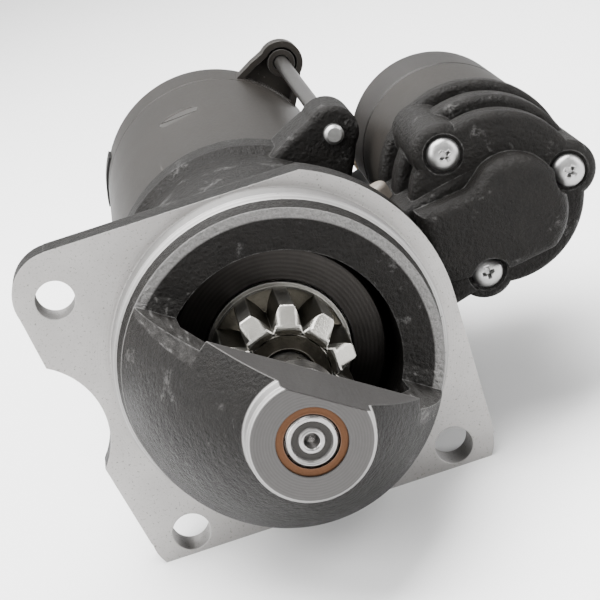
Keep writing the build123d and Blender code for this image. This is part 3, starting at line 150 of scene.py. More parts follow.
class Finish:
    """A material on the standard shader, with places in millimetres read from the object."""

    def __init__(self, name):
        self.material = bpy.data.materials.new(name)
        self.material.use_nodes = True
        self.tree = self.material.node_tree
        self.shader = self.tree.nodes["Principled BSDF"]
        self.place = self.node("ShaderNodeTexCoord", {}, out="Object")
        self.x, self.y, self.z = (axis * 1000 for axis in self.parts(self.place))

    def node(self, kind, settings, *by_order, out=0, **by_name):
        made = self.tree.nodes.new(kind)
        for key, value in settings.items():
            setattr(made, key, value)
        for key, value in [*enumerate(by_order), *by_name.items()]:
            socket = made.inputs[key.replace("_", " ") if isinstance(key, str) else key]
            if isinstance(value, Reading):
                self.tree.links.new(value.socket, socket)
            elif isinstance(value, (tuple, list)) and len(value) == 3 and len(socket.default_value) == 4:
                socket.default_value = (*value, 1)
            else:
                socket.default_value = value
        return Reading(self, made.outputs[out])

    def parts(self, vector):
        split = self.node("ShaderNodeSeparateXYZ", {}, vector)
        return [split] + [Reading(self, split.socket.node.outputs[k]) for k in (1, 2)]

    def noise(self, per_mm, detail=3, rough=0.5, stretch=(1, 1, 1), shift=0, along=None):
        moved = self.node("ShaderNodeMapping", {}, along or self.place, Scale=stretch,
                          Location=(shift, shift * 0.7, -shift))
        return self.node("ShaderNodeTexNoise", {}, moved, Scale=per_mm * 1000, Detail=detail, Roughness=rough)

    def cells(self, per_mm, feature="F1", shift=0):
        moved = self.node("ShaderNodeMapping", {}, self.place, Location=(shift, -shift, shift * 0.5))
        return self.node("ShaderNodeTexVoronoi", {"feature": feature}, moved, Scale=per_mm * 1000)

    def mix(self, share, first, second):
        made = self.tree.nodes.new("ShaderNodeMix")
        made.data_type = "RGBA"
        for socket, value in ((made.inputs[0], share), (made.inputs[6], first), (made.inputs[7], second)):
            if isinstance(value, Reading):
                self.tree.links.new(value.socket, socket)
            else:
                socket.default_value = (*value, 1) if isinstance(value, (tuple, list)) else value
        return Reading(self, made.outputs[2])

    def radius(self, centre=(0, 0)):
        return ((self.x - centre[0]) ** 2 + (self.z - centre[1]) ** 2) ** 0.5

    def facing(self, direction):
        normal = self.node("ShaderNodeNewGeometry", {}, out="True Normal")
        return self.node("ShaderNodeVectorMath", {"operation": "DOT_PRODUCT"}, normal, direction, out=1)

    def edges(self, radius):
        """1 along sharp outer edges, 0 on flats."""
        rounded = self.node("ShaderNodeBevel", {"samples": 6}, Radius=radius * MM)
        flat = self.node("ShaderNodeNewGeometry", {}, out="Normal")
        straight = self.node("ShaderNodeVectorMath", {"operation": "DOT_PRODUCT"}, rounded, flat, out=1)
        return (1 - straight) * 12

    def use(self, **channels):
        for name, value in channels.items():
            socket = self.shader.inputs[name.replace("_", " ")]
            if isinstance(value, Reading):
                self.tree.links.new(value.socket, socket)
            else:
                socket.default_value = (*value, 1) if isinstance(value, (tuple, list)) else value
        return self

    def relief(self, height, depth_mm, edge_mm=0.0):
        settings = {"Distance": depth_mm * MM, "Strength": 1.0, "Height": height}
        if edge_mm:
            settings["Normal"] = self.node("ShaderNodeBevel", {"samples": 6}, Radius=edge_mm * MM)
        return self.use(Normal=self.node("ShaderNodeBump", {}, **settings))

    def paint_on(self, *names):
        for name in names:
            piece = nodes[name] if name in nodes else bpy.data.objects[name]
            piece.data.materials.clear()
            piece.data.materials.append(self.material)
        return self


WINDOW_WAY = (cos(radians(55.5)), sin(radians(55.5)))
SOLENOID_AT = (69.6, 17.5)
HOLES = ((-51.4, 32.1), (37.6, -41.6), (-37.6, -41.6))
cast = Finish("housing_cast_iron")
r, y = cast.radius(), cast.y
toward_window = cast.x * WINDOW_WAY[0] + cast.z * WINDOW_WAY[1]
front_facing = (-cast.facing((0, 1, 0))).above(0.9, 0.1)
# machined regions: flange face, register, boss end with its flat, and the bolt holes
face = y.near(0.0, 0.25, 0.1) * front_facing
register = y.above(-8.6, 0.2) * y.below(-0.1, 0.1) * r.above(43.0, 0.3) * r.below(45.0, 0.2)
boss = y.below(-70.9, 0.1) + y.below(-69.8, 0.3) * r.above(14.0, 0.2)
boss_side = y.below(-65.6, 0.3) * r.above(15.0, 0.1)
flat = toward_window.near(10.7, 0.15, 0.1) * y.below(-49.0, 0.3)
holes = 0.0
for hole in HOLES:
    holes = cast.radius(hole).below(5.6, 0.15) * y.above(-0.5, 0.3) * y.below(9.3, 0.3) + holes
machined = cast.node("ShaderNodeMath", {"operation": "MINIMUM"},
                     face + register + boss + boss_side + flat + holes, 1.0)
# painted highlight: the window's front rim is painted as a bright rubbed-iron band; worn paint: rubbed patches low on
# the nose and at cast edges
rim_highlight = y.near(-14.3, 0.3, 0.4) * r.above(39.6, 0.5)
cut_face = (toward_window.above(3.5, 0.5) * toward_window.below(9.5, 0.5) * y.below(-14.0, 0.2)
            * y.above(-49.3, 0.2) * r.above(20, 1))
streaks = cast.noise(0.55, 4, 0.6, stretch=(1, 0.08, 1), shift=0.3)
scuffs = cast.noise(0.09, 5, 0.65, shift=1.7).above(0.63, 0.05) * cast.noise(1.2, 3, 0.6).above(0.5, 0.15)
edge_wear = cast.edges(0.5).above(0.75, 0.7) * cast.noise(0.35, 4, 0.6, shift=2).above(0.45, 0.25) * 0.55
# worn holds the real wear together with the painted highlight along the window rim
worn = cast.node("ShaderNodeMath", {"operation": "MINIMUM"},
                 rim_highlight * 0.85 + cut_face * streaks.above(0.62, 0.06) * 0.35 + scuffs * 0.25 + edge_wear, 0.9)
sand = cast.noise(0.85, 5, 0.62)
lumps = cast.noise(0.2, 4, 0.55, shift=4)
pits = cast.cells(1.6).below(0.18, 0.12) * cast.noise(0.6, 2, shift=6).above(0.55, 0.1)
paint_black = cast.mix(lumps, (0.0028, 0.0025, 0.0022), (0.0085, 0.0075, 0.0066))
paint_black = cast.mix(cut_face * streaks.above(0.5, 0.3) * 0.45, paint_black, (0.05, 0.048, 0.046))
# rubbed iron tone, also used as the colour of the painted rim highlight
rubbed_iron_and_highlight_tone = cast.mix(cast.noise(2.2, 3), (0.10, 0.098, 0.095), (0.24, 0.235, 0.23))
swirl = cast.noise(0.045, 4, 0.6, shift=8)
lathe = (r * 9.0 + cast.noise(0.05, 2) * 4).sine()
turned_bright = cast.mix(lathe * 0.25 + 0.5, (0.17, 0.166, 0.162), (0.29, 0.285, 0.28))
face_grey = cast.mix(swirl, (0.24, 0.232, 0.224), (0.40, 0.39, 0.38))
pores = cast.noise(1.4, 4, 0.7, shift=3).above(0.62, 0.06)
face_grey = cast.mix(pores * 0.7, face_grey, (0.055, 0.051, 0.048))
bare_metal_with_dark_reflection = cast.mix(register + boss + boss_side, face_grey, turned_bright)
# painted dark reflection: the boss end face and the flat are painted near black in place of the dark surroundings
# they reflect
end_face = y.below(-70.9, 0.1)
bare_metal_with_dark_reflection = cast.mix(end_face * 0.85 + flat * 0.9, bare_metal_with_dark_reflection, (0.042, 0.040, 0.039))
nicks = (register * cast.noise(0.5, 4, 0.7, stretch=(1, 0.6, 1), shift=12).above(0.71, 0.02)
         + machined * cast.noise(0.9, 3, 0.6, shift=15).above(0.74, 0.02))
metal_share = machined * (1 - nicks)
colour = cast.mix(worn, paint_black, rubbed_iron_and_highlight_tone)
colour = cast.mix(metal_share, colour, bare_metal_with_dark_reflection)
cast.use(Base_Color=colour, Metallic=metal_share * 0.9 + (1 - metal_share) * worn * 0.8,
         Roughness=0.40 + sand * 0.2 + metal_share * 0.02, Specular_IOR_Level=0.12)
rough_height = (1 - machined) * (sand * 1.5 + lumps * 1.3 - pits * 0.6) + machined * (
    cast.noise(3.5, 3, 0.6) * 0.06 + lathe * 0.012)
cast.relief(rough_height, 0.55, edge_mm=0.45).paint_on("drive_housing")

# ---------------------------------------------------------------- nose bush and pivot hardware
# Sintered bronze bush pressed in the boss, the lever's hardened pin and its grey plastic plug,
# a moulded rubber seal, and the pressed-steel centre bearing plate with its own bush.


def metal(name, dark, light, rough=0.3, grain=1.0, stretch=(1, 1, 1), rings=0.0, metallic=1.0, wear=0.3):
    """Worked metal: blotched tone, fine grain, optional turning rings and bright rubbed edges."""
    finish = Finish(name)
    blotch = finish.noise(0.12 * grain, 4, 0.6)
    fine = finish.noise(2.0 * grain, 3, 0.6, stretch=stretch)
    tone = finish.mix(blotch * 0.5 + fine * 0.5, dark, light)
    if wear:
        rubbed = finish.edges(0.3).above(0.5, 0.5) * wear
        tone = finish.mix(rubbed, tone, [min(1, 1.6 * c + 0.15) for c in light])
    height = fine * 0.5
    if rings:
        height = height + (finish.radius() * rings + finish.y * rings).sine() * 0.35
    finish.use(Base_Color=tone, Metallic=metallic, Roughness=rough + blotch * 0.12 + fine * 0.06)
    return finish.relief(height, 0.05, edge_mm=0.2)


def moulded(name, dark, light, rough=0.5, grain=1.0, relief_mm=0.06):
    """Plastic or rubber: faint mottling and a fine moulded grain."""
    finish = Finish(name)
    blotch, fine = finish.noise(0.1 * grain, 3), finish.noise(2.4 * grain, 4, 0.65)
    dust = finish.noise(0.4 * grain, 5, 0.7, shift=5).above(0.66, 0.1) * 0.25
    tone = finish.mix(dust, finish.mix(blotch, dark, light), [min(1, c + 0.12) for c in light])
    finish.use(Base_Color=tone, Roughness=rough + fine * 0.15, Specular_IOR_Level=0.25)
    return finish.relief(fine, relief_mm, edge_mm=0.25)


bronze = metal("sintered_bronze", (0.045, 0.022, 0.012), (0.10, 0.05, 0.028), rough=0.42, rings=5.0)
bronze.paint_on("nose_bush", "centre_bush", "rear_bush")
metal("hardened_pin_steel", (0.30, 0.30, 0.31), (0.5, 0.5, 0.51), rough=0.22).paint_on(
    "lever_pivot_pin", "plunger_pin")
moulded("grey_plug_plastic", (0.10, 0.085, 0.07), (0.17, 0.15, 0.13), rough=0.38).paint_on("pivot_plug")
moulded("seal_rubber", (0.005, 0.005, 0.005), (0.010, 0.0095, 0.009), rough=0.7).paint_on(
    "lever_seal", "lead_grommet", "inspection_plug")
metal("pressed_plate_steel", (0.26, 0.26, 0.27), (0.42, 0.42, 0.43), rough=0.34).paint_on("centre_plate")

# ---------------------------------------------------------------- armature
# Ground shaft with a dark stop collar, a stack of thin laminations, lacquered copper bars and
# a commutator of copper segments parted by undercut mica.
shaft = Finish("ground_shaft_steel")
r = shaft.radius()
end_face = shaft.y.below(-69.0, 0.1)
# painted shade: the well in the shaft end is painted near black, made less metallic and rougher
well_shade = end_face * r.near(3.95, 0.75, 0.2)
turning = (r * 16).sine() * 0.5 + 0.5
steel = shaft.mix(shaft.noise(1.5, 3) * 0.6 + turning * 0.25, (0.16, 0.156, 0.15), (0.40, 0.39, 0.385))
steel = shaft.mix(well_shade, steel, (0.02, 0.018, 0.016))
oil = shaft.noise(0.25, 4, 0.6, shift=3).above(0.56, 0.12) * shaft.y.above(-66, 1) * shaft.y.below(-20, 5)
steel = shaft.mix(oil * 0.8, steel, (0.10, 0.09, 0.08))
shaft.use(Base_Color=steel, Metallic=1.0 - well_shade * 0.5, Roughness=0.22 + shaft.noise(0.5) * 0.15 + well_shade * 0.3)
shaft.relief(turning * end_face * 0.4 + shaft.noise(3, 3) * 0.4, 0.05, edge_mm=0.2).paint_on("armature_shaft")
metal("collar_steel", (0.035, 0.033, 0.03), (0.11, 0.105, 0.10), rough=0.32, rings=3.0, wear=0.5).paint_on(
    "stop_collar", "stop_snap_ring", "sleeve_snap_ring")

laminations = Finish("lamination_steel")
sheets = (laminations.y * (2 * pi / 0.65)).sine() * 0.5 + 0.5
laminations.use(Base_Color=laminations.mix(sheets, (0.07, 0.07, 0.075), (0.33, 0.33, 0.34)), Metallic=0.9,
                Roughness=0.38 + laminations.noise(0.3) * 0.15).relief(sheets, 0.06).paint_on("armature_core")

copper = Finish("lacquered_copper")
strands = copper.noise(0.5, 3, stretch=(1, 0.15, 1))
copper.use(Base_Color=copper.mix(strands, (0.30, 0.085, 0.03), (0.55, 0.20, 0.08)), Metallic=0.85,
           Roughness=0.22 + strands * 0.15, Coat_Weight=0.5).relief(strands, 0.15).paint_on("armature_windings")

segments = Finish("commutator_copper")
track = segments.y.near(206.4, 6.6, 1.0)
scored = segments.noise(3.0, 3, 0.6, stretch=(0.1, 1, 0.1))
segments.use(Base_Color=segments.mix(track * 0.6, (0.62, 0.27, 0.12), (0.20, 0.10, 0.06)), Metallic=1.0,
             Roughness=0.2 + scored * 0.2).relief(scored, 0.04, edge_mm=0.2).paint_on("commutator")

# ---------------------------------------------------------------- pinion
# Ten hardened teeth, bevelled in front so that they find the ring gear, on a hub that ends in
# the clutch's inner race; forged and machined from one bar and darkened by heat treatment.


def lathe(name, profile, axis_at=(0.0, 0.0), steps=96):
    """Closed (radius, station) profile in millimetres, turned about an axis along Y."""
    shape = bmesh.new()
    rings = []
    for k in range(steps):
        turn = 2 * pi * k / steps
        rings.append([shape.verts.new(((axis_at[0] + rad * cos(turn)) * MM, station * MM,
                                       (axis_at[1] + rad * sin(turn)) * MM)) for rad, station in profile])
    for a, b in zip(rings, rings[1:] + rings[:1]):
        for k in range(len(profile)):
            shape.faces.new((a[k], b[k], b[k - 1], a[k - 1]))
    bmesh.ops.recalc_face_normals(shape, faces=shape.faces)
    return settled(name, shape)


def settled(name, shape, smooth_deg=32):
    """Turns a bmesh into an object at the origin, smooth except at sharp edges."""
    mesh = bpy.data.meshes.new(name)
    shape.to_mesh(mesh)
    shape.free()
    piece = bpy.data.objects.new(name, mesh)
    bpy.context.scene.collection.objects.link(piece)
    for face in mesh.polygons:
        face.use_smooth = True
    mesh.set_sharp_from_angle(angle=radians(smooth_deg))
    return piece


class Recipe:
    """A Geometry Nodes tree; its finished mesh replaces the modifier."""

    def __init__(self, name, **sizes):
        self.tree = bpy.data.node_groups.new(name, "GeometryNodeTree")
        self.sizes = sizes
        self.tree.interface.new_socket("Geometry", in_out="INPUT", socket_type="NodeSocketGeometry")
        for size in sizes:
            kind = "NodeSocketInt" if isinstance(sizes[size], int) else "NodeSocketFloat"
            self.tree.interface.new_socket(size, in_out="INPUT", socket_type=kind)
        self.tree.interface.new_socket("Geometry", in_out="OUTPUT", socket_type="NodeSocketGeometry")
        self.start = self.tree.nodes.new("NodeGroupInput")

    def size(self, name):
        return self.start.outputs[name]

    def node(self, kind, settings=None, out=0, **links):
        made = self.tree.nodes.new(kind)
        for key, value in (settings or {}).items():
            setattr(made, key, value)
        for key, value in links.items():
            socket = made.inputs[key.replace("_", " ")]
            if isinstance(value, bpy.types.NodeSocket):
                self.tree.links.new(value, socket)
            else:
                socket.default_value = value
        return made.outputs[out]

    def maths(self, operation, first, second):
        made = self.tree.nodes.new("ShaderNodeMath")
        made.operation = operation
        for socket, value in zip(made.inputs, (first, second)):
            if isinstance(value, bpy.types.NodeSocket):
                self.tree.links.new(value, socket)
            else:
                socket.default_value = value
        return made.outputs[0]

    def finish(self, piece_name, geometry, finish, body, slot, replaced=()):
        """Runs the tree with its sizes, and returns a plain piece that rides on its body."""
        whole = self.node("GeometryNodeRealizeInstances", Geometry=geometry)
        shown = self.node("GeometryNodeSetMaterial", Geometry=whole, Material=finish.material)
        end = self.tree.nodes.new("NodeGroupOutput")
        self.tree.links.new(shown, end.inputs[0])
        carrier = bpy.data.objects.new(piece_name + "_carrier", bpy.data.meshes.new(piece_name + "_carrier"))
        bpy.context.scene.collection.objects.link(carrier)
        modifier = carrier.modifiers.new("recipe", "NODES")
        modifier.node_group = self.tree
        for item in self.tree.interface.items_tree:
            if item.in_out == "INPUT" and item.name in self.sizes:
                modifier[item.identifier] = self.sizes[item.name]
        bpy.context.view_layer.update()
        seen = carrier.evaluated_get(bpy.context.evaluated_depsgraph_get())
        mesh = bpy.data.meshes.new_from_object(seen)
        mesh.name = piece_name
        bpy.data.objects.remove(carrier)
        return placed(bpy.data.objects.new(piece_name, mesh), finish, body, slot, replaced, link=True)


def placed(piece, finish, body, slot, replaced=(), link=False):
    """Gives a piece its finish and body, and hides the nodes it stands for; slot is not used."""
    if link:
        bpy.context.scene.collection.objects.link(piece)
    piece.data.materials.clear()
    piece.data.materials.append(finish.material)
    for face in piece.data.polygons:
        face.material_index = 0
    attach(piece, body)
    if replaced:
        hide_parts(*replaced)
    return piece


pinion_steel = Finish("pinion_steel")
r = pinion_steel.radius()
blotch, fine = pinion_steel.noise(0.35, 4, 0.6), pinion_steel.noise(2.5, 3)
# painted highlights: the tooth tips, sharp edges and front bevels are painted bright in place of light catching them
tip_and_edge_highlight = r.above(18.1, 0.15) + pinion_steel.edges(0.35).above(0.35, 0.4)
tone = pinion_steel.mix(blotch, (0.040, 0.036, 0.028), (0.12, 0.11, 0.088))
bevel_highlight = pinion_steel.y.below(-19.9, 0.2) * r.above(12.6, 0.3)
tone = pinion_steel.mix(tip_and_edge_highlight * 0.55 + bevel_highlight * 0.6, tone, (0.46, 0.45, 0.42))
pinion_steel.use(Base_Color=tone, Metallic=1.0, Roughness=0.24 + blotch * 0.16 + fine * 0.05).relief(
    fine + blotch, 0.07, edge_mm=0.3)
TEETH, TIP_R, TOOTH_FRONT, TOOTH_REAR = 10, 18.3, -23.0, -1.95
flank = [(11.0, 4.7), (11.9, 4.0), (12.8, 3.66), (14.2, 3.4), (15.6, 3.02), (16.9, 2.5), (17.8, 2.05),
         (TIP_R, 1.7)]
tooth_rows = [(TOOTH_FRONT, 5.2, 0.5), (TOOTH_FRONT + 0.3, 4.7, 0.2), (TOOTH_FRONT + 2.9, 0.25, 0.05),
              (TOOTH_FRONT + 3.3, 0, 0.0),
              (-14.0, 0, 0), (-7.0, 0, 0), (TOOTH_REAR, 0, 0)]
shape = bmesh.new()
for tooth in range(TEETH):
    turn = radians(55.5 + 18 + 36 * tooth)
    out, side = (cos(turn), sin(turn)), (-sin(turn), cos(turn))
    rows = []
    for station, drop, narrow in tooth_rows:
        outline = [(rad, half) for rad, half in flank] + [(rad, -half) for rad, half in flank[::-1]]
        row = []
        for rad, half in outline:
            rad = min(rad, TIP_R - drop)
            half = max(abs(half) - narrow, 0.4) * (1 if half > 0 else -1)
            row.append(shape.verts.new(((out[0] * rad + side[0] * half) * MM, station * MM,
                                        (out[1] * rad + side[1] * half) * MM)))
        rows.append(row)
    for a, b in zip(rows, rows[1:]):
        for k in range(len(a)):
            shape.faces.new((a[k], b[k], b[k - 1], a[k - 1]))
    for row in (rows[0], rows[-1]):
        half_count = len(row) // 2
        for k in range(half_count - 1):
            shape.faces.new((row[k], row[k + 1], row[-2 - k], row[-1 - k]))
bmesh.ops.recalc_face_normals(shape, faces=shape.faces)
placed(settled("pinion_teeth", shape, 25), pinion_steel, "pinion", "pinion", ("pinion",))
hub_profile = [(7.6, -23.0), (11.3, -23.0), (11.7, -22.6), (11.7, -8.6), (12.0, -7.2), (12.9, -5.8), (14.4, -4.6),
               (16.4, -3.7), (18.0, -3.2), (18.3, -2.9), (18.3, -2.0), (19.3, -2.0), (19.6, -1.7),
               (19.6, 1.4), (22.4, 1.4), (22.4, 3.6), (12.5, 3.6), (12.5, 17.5), (8.7, 17.5), (8.7, 7.5),
               (6.7, 7.5), (6.7, -22.1)]
placed(lathe("pinion_hub", hub_profile), pinion_steel, "pinion", "pinion")

# ---------------------------------------------------------------- roller clutch and shift collar
# Drawn steel cover crimped over the clutch body, five rollers with small springs, a grooved
# collar held by a snap ring, and the coil spring that lets a blocked tooth slip in.
cover = Finish("drawn_cover_steel")
r = cover.radius()
spun = (r * 5.5 + cover.noise(0.06, 2) * 5).sine() * 0.5 + 0.5
smear = cover.noise(0.14, 5, 0.6, shift=2)
cover.use(Base_Color=cover.mix(smear * 0.7 + spun * 0.2, (0.016, 0.0145, 0.013), (0.050, 0.046, 0.043)), Metallic=0.9,
          Roughness=0.30 + smear * 0.14).relief(spun * 0.12 + cover.noise(2.5, 3) * 0.25, 0.06, edge_mm=0.6)
cover.paint_on("clutch_cover")
machined_steel = metal("machined_drive_steel", (0.26, 0.26, 0.27), (0.46, 0.46, 0.47), rough=0.26, rings=4.0)
machined_steel.paint_on("clutch_body", "shift_collar", "thrust_washer")
metal("polished_roller_steel", (0.55, 0.55, 0.56), (0.72, 0.72, 0.73), rough=0.12).paint_on("clutch_rollers")
spring_steel = metal("spring_steel", (0.16, 0.16, 0.17), (0.34, 0.34, 0.35), rough=0.28)
spring_steel.paint_on("roller_springs")


def coil(name, mean_mm, wire_mm, front_mm, rear_mm, turns, body, slot, axis_at=(0, 0), replaced=(), finish=None):
    """Round-wire coil along Y, from one wire swept along a spiral."""
    recipe = Recipe(name + "_recipe", Mean_Radius=mean_mm * MM, Wire_Radius=wire_mm * MM,
                    Length=(rear_mm - front_mm) * MM, Turns=float(turns))
    spiral = recipe.node("GeometryNodeCurveSpiral", Resolution=40, Rotations=recipe.size("Turns"),
                         Start_Radius=recipe.size("Mean_Radius"), End_Radius=recipe.size("Mean_Radius"),
                         Height=recipe.size("Length"))
    wire = recipe.node("GeometryNodeCurvePrimitiveCircle", {"mode": "RADIUS"}, Resolution=10,
                       Radius=recipe.size("Wire_Radius"))
    swept = recipe.tree.nodes.new("GeometryNodeCurveToMesh")
    recipe.tree.links.new(spiral, swept.inputs["Curve"])
    recipe.tree.links.new(wire, swept.inputs["Profile Curve"])
    swept.inputs["Fill Caps"].default_value = True
    turned = recipe.node("GeometryNodeTransform", Geometry=swept.outputs[0], Rotation=(-pi / 2, 0, 0),
                         Translation=(axis_at[0] * MM, front_mm * MM, axis_at[1] * MM))
    smooth = recipe.node("GeometryNodeSetShadeSmooth", Geometry=turned)
    return recipe.finish(name, smooth, finish or spring_steel, body, slot, replaced)


coil("meshing_coil", 13.6, 1.2, 24.75, 39.75, 4, "drive", "meshing_spring", replaced=("meshing_spring",))
lever_iron = metal("lever_cast_iron", (0.03, 0.029, 0.028), (0.09, 0.087, 0.084), rough=0.45, metallic=0.7, wear=0.5)
lever_iron.paint_on("shift_lever")

# ---------------------------------------------------------------- solenoid
# Drawn steel can in satin black, screwed to the casting from the front by three cross-recess
# screws; inside are the bobbin and its winding, the fixed core, and the plunger with its spring.


def shell_paint(name, tone_shift=0.0):
    """Satin black enamel on rolled steel, with rubs, fine scratches and seams worn to metal."""
    finish = Finish(name)
    peel, cloud = finish.noise(0.9, 3), finish.noise(0.035, 4, 0.55, shift=tone_shift)
    scratch = finish.noise(0.30, 4, 0.6, stretch=(1, 0.06, 1), shift=tone_shift + 2)
    speck = finish.noise(0.8, 4, 0.65, shift=tone_shift + 6)
    rubbed = speck.above(0.68, 0.05) * cloud.above(0.5, 0.1) * 0.6 + scratch.above(0.70, 0.03) * 0.35
    bright = finish.edges(0.35).above(0.8, 0.6) * finish.noise(0.2, 4, shift=9).above(0.48, 0.1) * 0.5
    tone = finish.mix(cloud, (0.009, 0.0078, 0.0066), (0.021, 0.0185, 0.016))
    tone = finish.mix(rubbed, tone, (0.07, 0.064, 0.058))
    tone = finish.mix(bright, tone, (0.16, 0.155, 0.15))
    return finish.use(Base_Color=tone, Metallic=0.15 + bright * 0.5,
                      Roughness=0.40 + peel * 0.08 + cloud * 0.08 + rubbed * 0.1, Specular_IOR_Level=0.16).relief(
                          peel * 0.5 - rubbed * 0.4, 0.12, edge_mm=0.5)


shell_paint("solenoid_case_paint", 1.5).paint_on("solenoid_case")
zinc = metal("zinc_plate", (0.20, 0.198, 0.195), (0.42, 0.415, 0.41), rough=0.28, wear=0.4)
SCREW_SEAT, HEAD_R, HEAD_HIGH = 12.6, 4.6, 3.0
SCREW_CIRCLE_R, FIRST_SCREW_DEG = 20.2, 124.6
head_profile = [(HEAD_R * sin(t) if t < 1.45 else HEAD_R, SCREW_SEAT - HEAD_HIGH * cos(t) ** 0.75 if t < 1.45 else SCREW_SEAT - 0.5)
                for t in [0.0001 + 1.5 * k / 9 for k in range(10)]]
one_screw = lathe("one_screw", [(0.02, SCREW_SEAT)] + head_profile + [(HEAD_R, SCREW_SEAT), (2.4, SCREW_SEAT),
                  (2.4, 52.5), (0.02, 52.5)], steps=40)
cutter_shape = bmesh.new()
for turn in (30, 120):
    blade = bmesh.ops.create_cube(cutter_shape, size=1.0)["verts"]
    bmesh.ops.scale(cutter_shape, vec=Vector((5.2, 4.0, 1.15)) * MM, verts=blade)
    for v in blade:
        if v.co.y > 0:
            v.co.x *= 0.35
            v.co.z *= 0.8
    bmesh.ops.rotate(cutter_shape, verts=blade, cent=(0, 0, 0), matrix=Matrix.Rotation(radians(turn), 3, "Y"))
    bmesh.ops.translate(cutter_shape, verts=blade, vec=(0, (SCREW_SEAT - HEAD_HIGH + 0.1) * MM, 0))
cross = settled("cross", cutter_shape)
cutting = one_screw.modifiers.new("cross", "BOOLEAN")
cutting.operation, cutting.object, cutting.solver, cutting.use_self = "DIFFERENCE", cross, "EXACT", True
bpy.context.view_layer.update()
screw_mesh = bpy.data.meshes.new_from_object(one_screw.evaluated_get(bpy.context.evaluated_depsgraph_get()))
bpy.data.objects.remove(cross)
one_screw.modifiers.clear()
one_screw.data = screw_mesh
recipe = Recipe("solenoid_screw_ring", Circle_Radius=SCREW_CIRCLE_R * MM, Count=3,
                First_Angle=radians(FIRST_SCREW_DEG))
spots = recipe.node("GeometryNodeMeshCircle", {"fill_type": "NONE"}, Vertices=recipe.size("Count"),
                    Radius=recipe.size("Circle_Radius"))
turn = recipe.node("ShaderNodeCombineXYZ", Y=recipe.maths("MULTIPLY", recipe.size("First_Angle"), -1.0))
flat_ring = recipe.node("GeometryNodeTransform", Geometry=spots, Rotation=(pi / 2, 0, 0))
aimed = recipe.node("GeometryNodeTransform", Geometry=flat_ring, Rotation=turn)
moved = recipe.node("GeometryNodeTransform", Geometry=aimed,
                    Translation=(SOLENOID_AT[0] * MM, 0, SOLENOID_AT[1] * MM))
screw = recipe.node("GeometryNodeObjectInfo", Object=one_screw, out=4)
spin = recipe.tree.nodes.new("FunctionNodeRandomValue")
spin.data_type = "FLOAT_VECTOR"
spin.inputs[0].default_value, spin.inputs[1].default_value = (0, -0.7, 0), (0, 0.7, 0)
spin.inputs["Seed"].default_value = 4
heads = recipe.node("GeometryNodeInstanceOnPoints", Points=moved, Instance=screw, Rotation=spin.outputs[0])
recipe.finish("solenoid_screw_set", heads, zinc, "housing", "solenoid_screws", ("solenoid_screws",))
bpy.data.objects.remove(one_screw)

moulded("bobbin_plastic", (0.02, 0.02, 0.02), (0.04, 0.04, 0.04), rough=0.5).paint_on("solenoid_bobbin")
recipe = Recipe("winding_turns", Turns=19, Wire_Radius=0.58 * MM, Pitch=1.18 * MM)
wire_ring = recipe.node("GeometryNodeCurvePrimitiveCircle", {"mode": "RADIUS"}, Resolution=40,
                        Radius=22.0 * MM)
round_wire = recipe.node("GeometryNodeCurvePrimitiveCircle", {"mode": "RADIUS"}, Resolution=8,
                         Radius=recipe.size("Wire_Radius"))
loop = recipe.tree.nodes.new("GeometryNodeCurveToMesh")
recipe.tree.links.new(wire_ring, loop.inputs["Curve"])
recipe.tree.links.new(round_wire, loop.inputs["Profile Curve"])
upright = recipe.node("GeometryNodeTransform", Geometry=loop.outputs[0], Rotation=(pi / 2, 0, 0))
line = recipe.tree.nodes.new("GeometryNodeMeshLine")
recipe.tree.links.new(recipe.size("Turns"), line.inputs["Count"])
line.inputs["Start Location"].default_value = (SOLENOID_AT[0] * MM, 55.7 * MM, SOLENOID_AT[1] * MM)
step = recipe.node("ShaderNodeCombineXYZ", Y=recipe.size("Pitch"))
recipe.tree.links.new(step, line.inputs["Offset"])
turns = recipe.node("GeometryNodeInstanceOnPoints", Points=line.outputs[0], Instance=upright)
recipe.finish("solenoid_wire_turns", recipe.node("GeometryNodeSetShadeSmooth", Geometry=turns), copper, "housing",
              "solenoid_winding")
copper.paint_on("solenoid_winding", "contact_disc", "field_coils")
bright_steel = metal("plunger_steel", (0.40, 0.40, 0.41), (0.60, 0.60, 0.61), rough=0.2, stretch=(1, 0.1, 1))
bright_steel.paint_on("solenoid_core", "plunger", "contact_rod")
return_coil = coil("plunger_return_coil", 4.25, 0.6, 47.6, 71.7, 7, "housing", "plunger_spring", SOLENOID_AT,
                   ("plunger_spring",))
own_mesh(return_coil)

# ---------------------------------------------------------------- terminal cap, studs and nuts
# Black phenolic cap crimped to the can, two copper studs with rolled threads, zinc-plated
# nuts and washers, and the tinned blade for the start signal.
moulded("phenolic_cap", (0.006, 0.0052, 0.0045), (0.014, 0.012, 0.0105), rough=0.4).paint_on("solenoid_cap")
stud_copper = metal("plated_stud_copper", (0.40, 0.24, 0.13), (0.62, 0.42, 0.26), rough=0.3)
stud_copper.paint_on("terminal_studs")
stud_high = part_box("terminal_studs")[1]
lever_way = atan2(SOLENOID_AT[1], SOLENOID_AT[0])
for name, reach, first in (("battery_stud_thread", 13, 121.0), ("motor_stud_thread", -13, 130.0)):
    at = (SOLENOID_AT[0] + reach * cos(lever_way), SOLENOID_AT[1] + reach * sin(lever_way))
    coil(name, 3.62, 0.42, first, stud_high.y / MM - 1.1, (stud_high.y / MM - 1.1 - first) / 1.25, "housing",
         "terminal_studs", at, finish=stud_copper)
zinc.paint_on("terminal_nuts")
metal("tinned_blade_brass", (0.45, 0.40, 0.28), (0.62, 0.57, 0.42), rough=0.25).paint_on("start_blade")

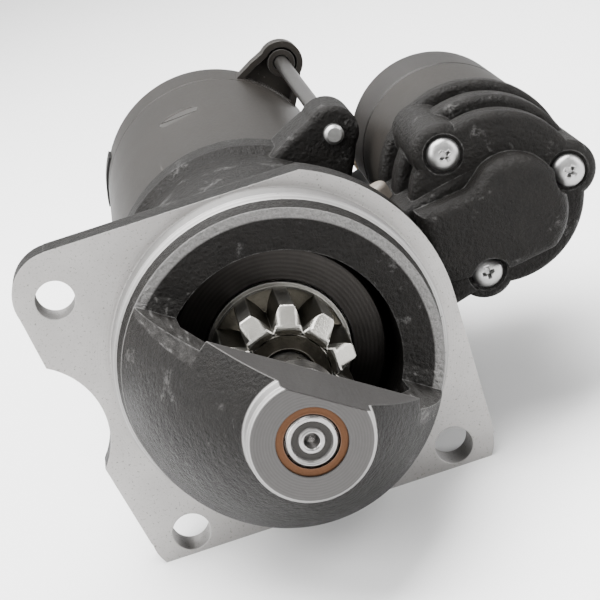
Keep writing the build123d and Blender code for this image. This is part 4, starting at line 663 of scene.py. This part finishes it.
# ---------------------------------------------------------------- yoke, poles and field coils
# Rolled steel tube in satin black that holds four pole shoes by countersunk screws; flat
# copper strip is wound round each pole and a sleeved copper bar brings in the current.
shell_paint("yoke_paint", 0.4).paint_on("yoke")
metal("pole_iron", (0.12, 0.12, 0.125), (0.28, 0.28, 0.29), rough=0.4).paint_on("pole_shoes")
metal("painted_screw_head", (0.010, 0.009, 0.008), (0.045, 0.041, 0.037), rough=0.42, metallic=0.4,
      wear=0.35).paint_on("pole_screws")
sleeve = Finish("braided_sleeve")
braid = ((sleeve.y * 4.2 + sleeve.z * 2.5).sine() * (sleeve.y * 4.2 - sleeve.z * 2.5).sine()) * 0.5 + 0.5
tinned = sleeve.y.below(122.6, 0.2)
braided = sleeve.mix(braid, (0.012, 0.011, 0.010), (0.06, 0.052, 0.045))
sleeve.use(Base_Color=sleeve.mix(tinned, braided, (0.55, 0.42, 0.30)), Metallic=tinned, Roughness=0.55 - tinned * 0.25).relief(braid * (1 - tinned), 0.25, edge_mm=0.2)
sleeve.paint_on("motor_lead")

# ---------------------------------------------------------------- brush gear
# Plated steel plate with four brush boxes, copper-graphite brushes and their pressure springs.
metal("brush_plate_zinc", (0.36, 0.33, 0.22), (0.56, 0.52, 0.38), rough=0.3).paint_on("brush_holder")
moulded("brush_graphite", (0.035, 0.03, 0.027), (0.075, 0.06, 0.05), rough=0.42).paint_on("brushes")
spring_steel.paint_on("brush_springs")

# ---------------------------------------------------------------- rear cap and through bolts
# Drawn cap in the same satin black with a pressed dust cap over the rear bush; two long bolts
# clamp cap, yoke and housing together, their plated ends standing out of the front ears.
shell_paint("rear_cap_paint", 3.1).paint_on("rear_cap", "dust_cap")
bolt = Finish("through_bolt_steel")
plated = bolt.y.below(86, 2) + bolt.y.above(212.8, 0.2)
grey = bolt.noise(0.8, 4, stretch=(1, 0.2, 1))
bolt.use(Base_Color=bolt.mix(plated, bolt.mix(grey, (0.035, 0.032, 0.03), (0.10, 0.095, 0.09)),
                             bolt.mix(grey, (0.25, 0.25, 0.245), (0.45, 0.45, 0.44))),
         Metallic=0.9, Roughness=0.3 + grey * 0.12).relief(grey, 0.06, edge_mm=0.3).paint_on("through_bolts")
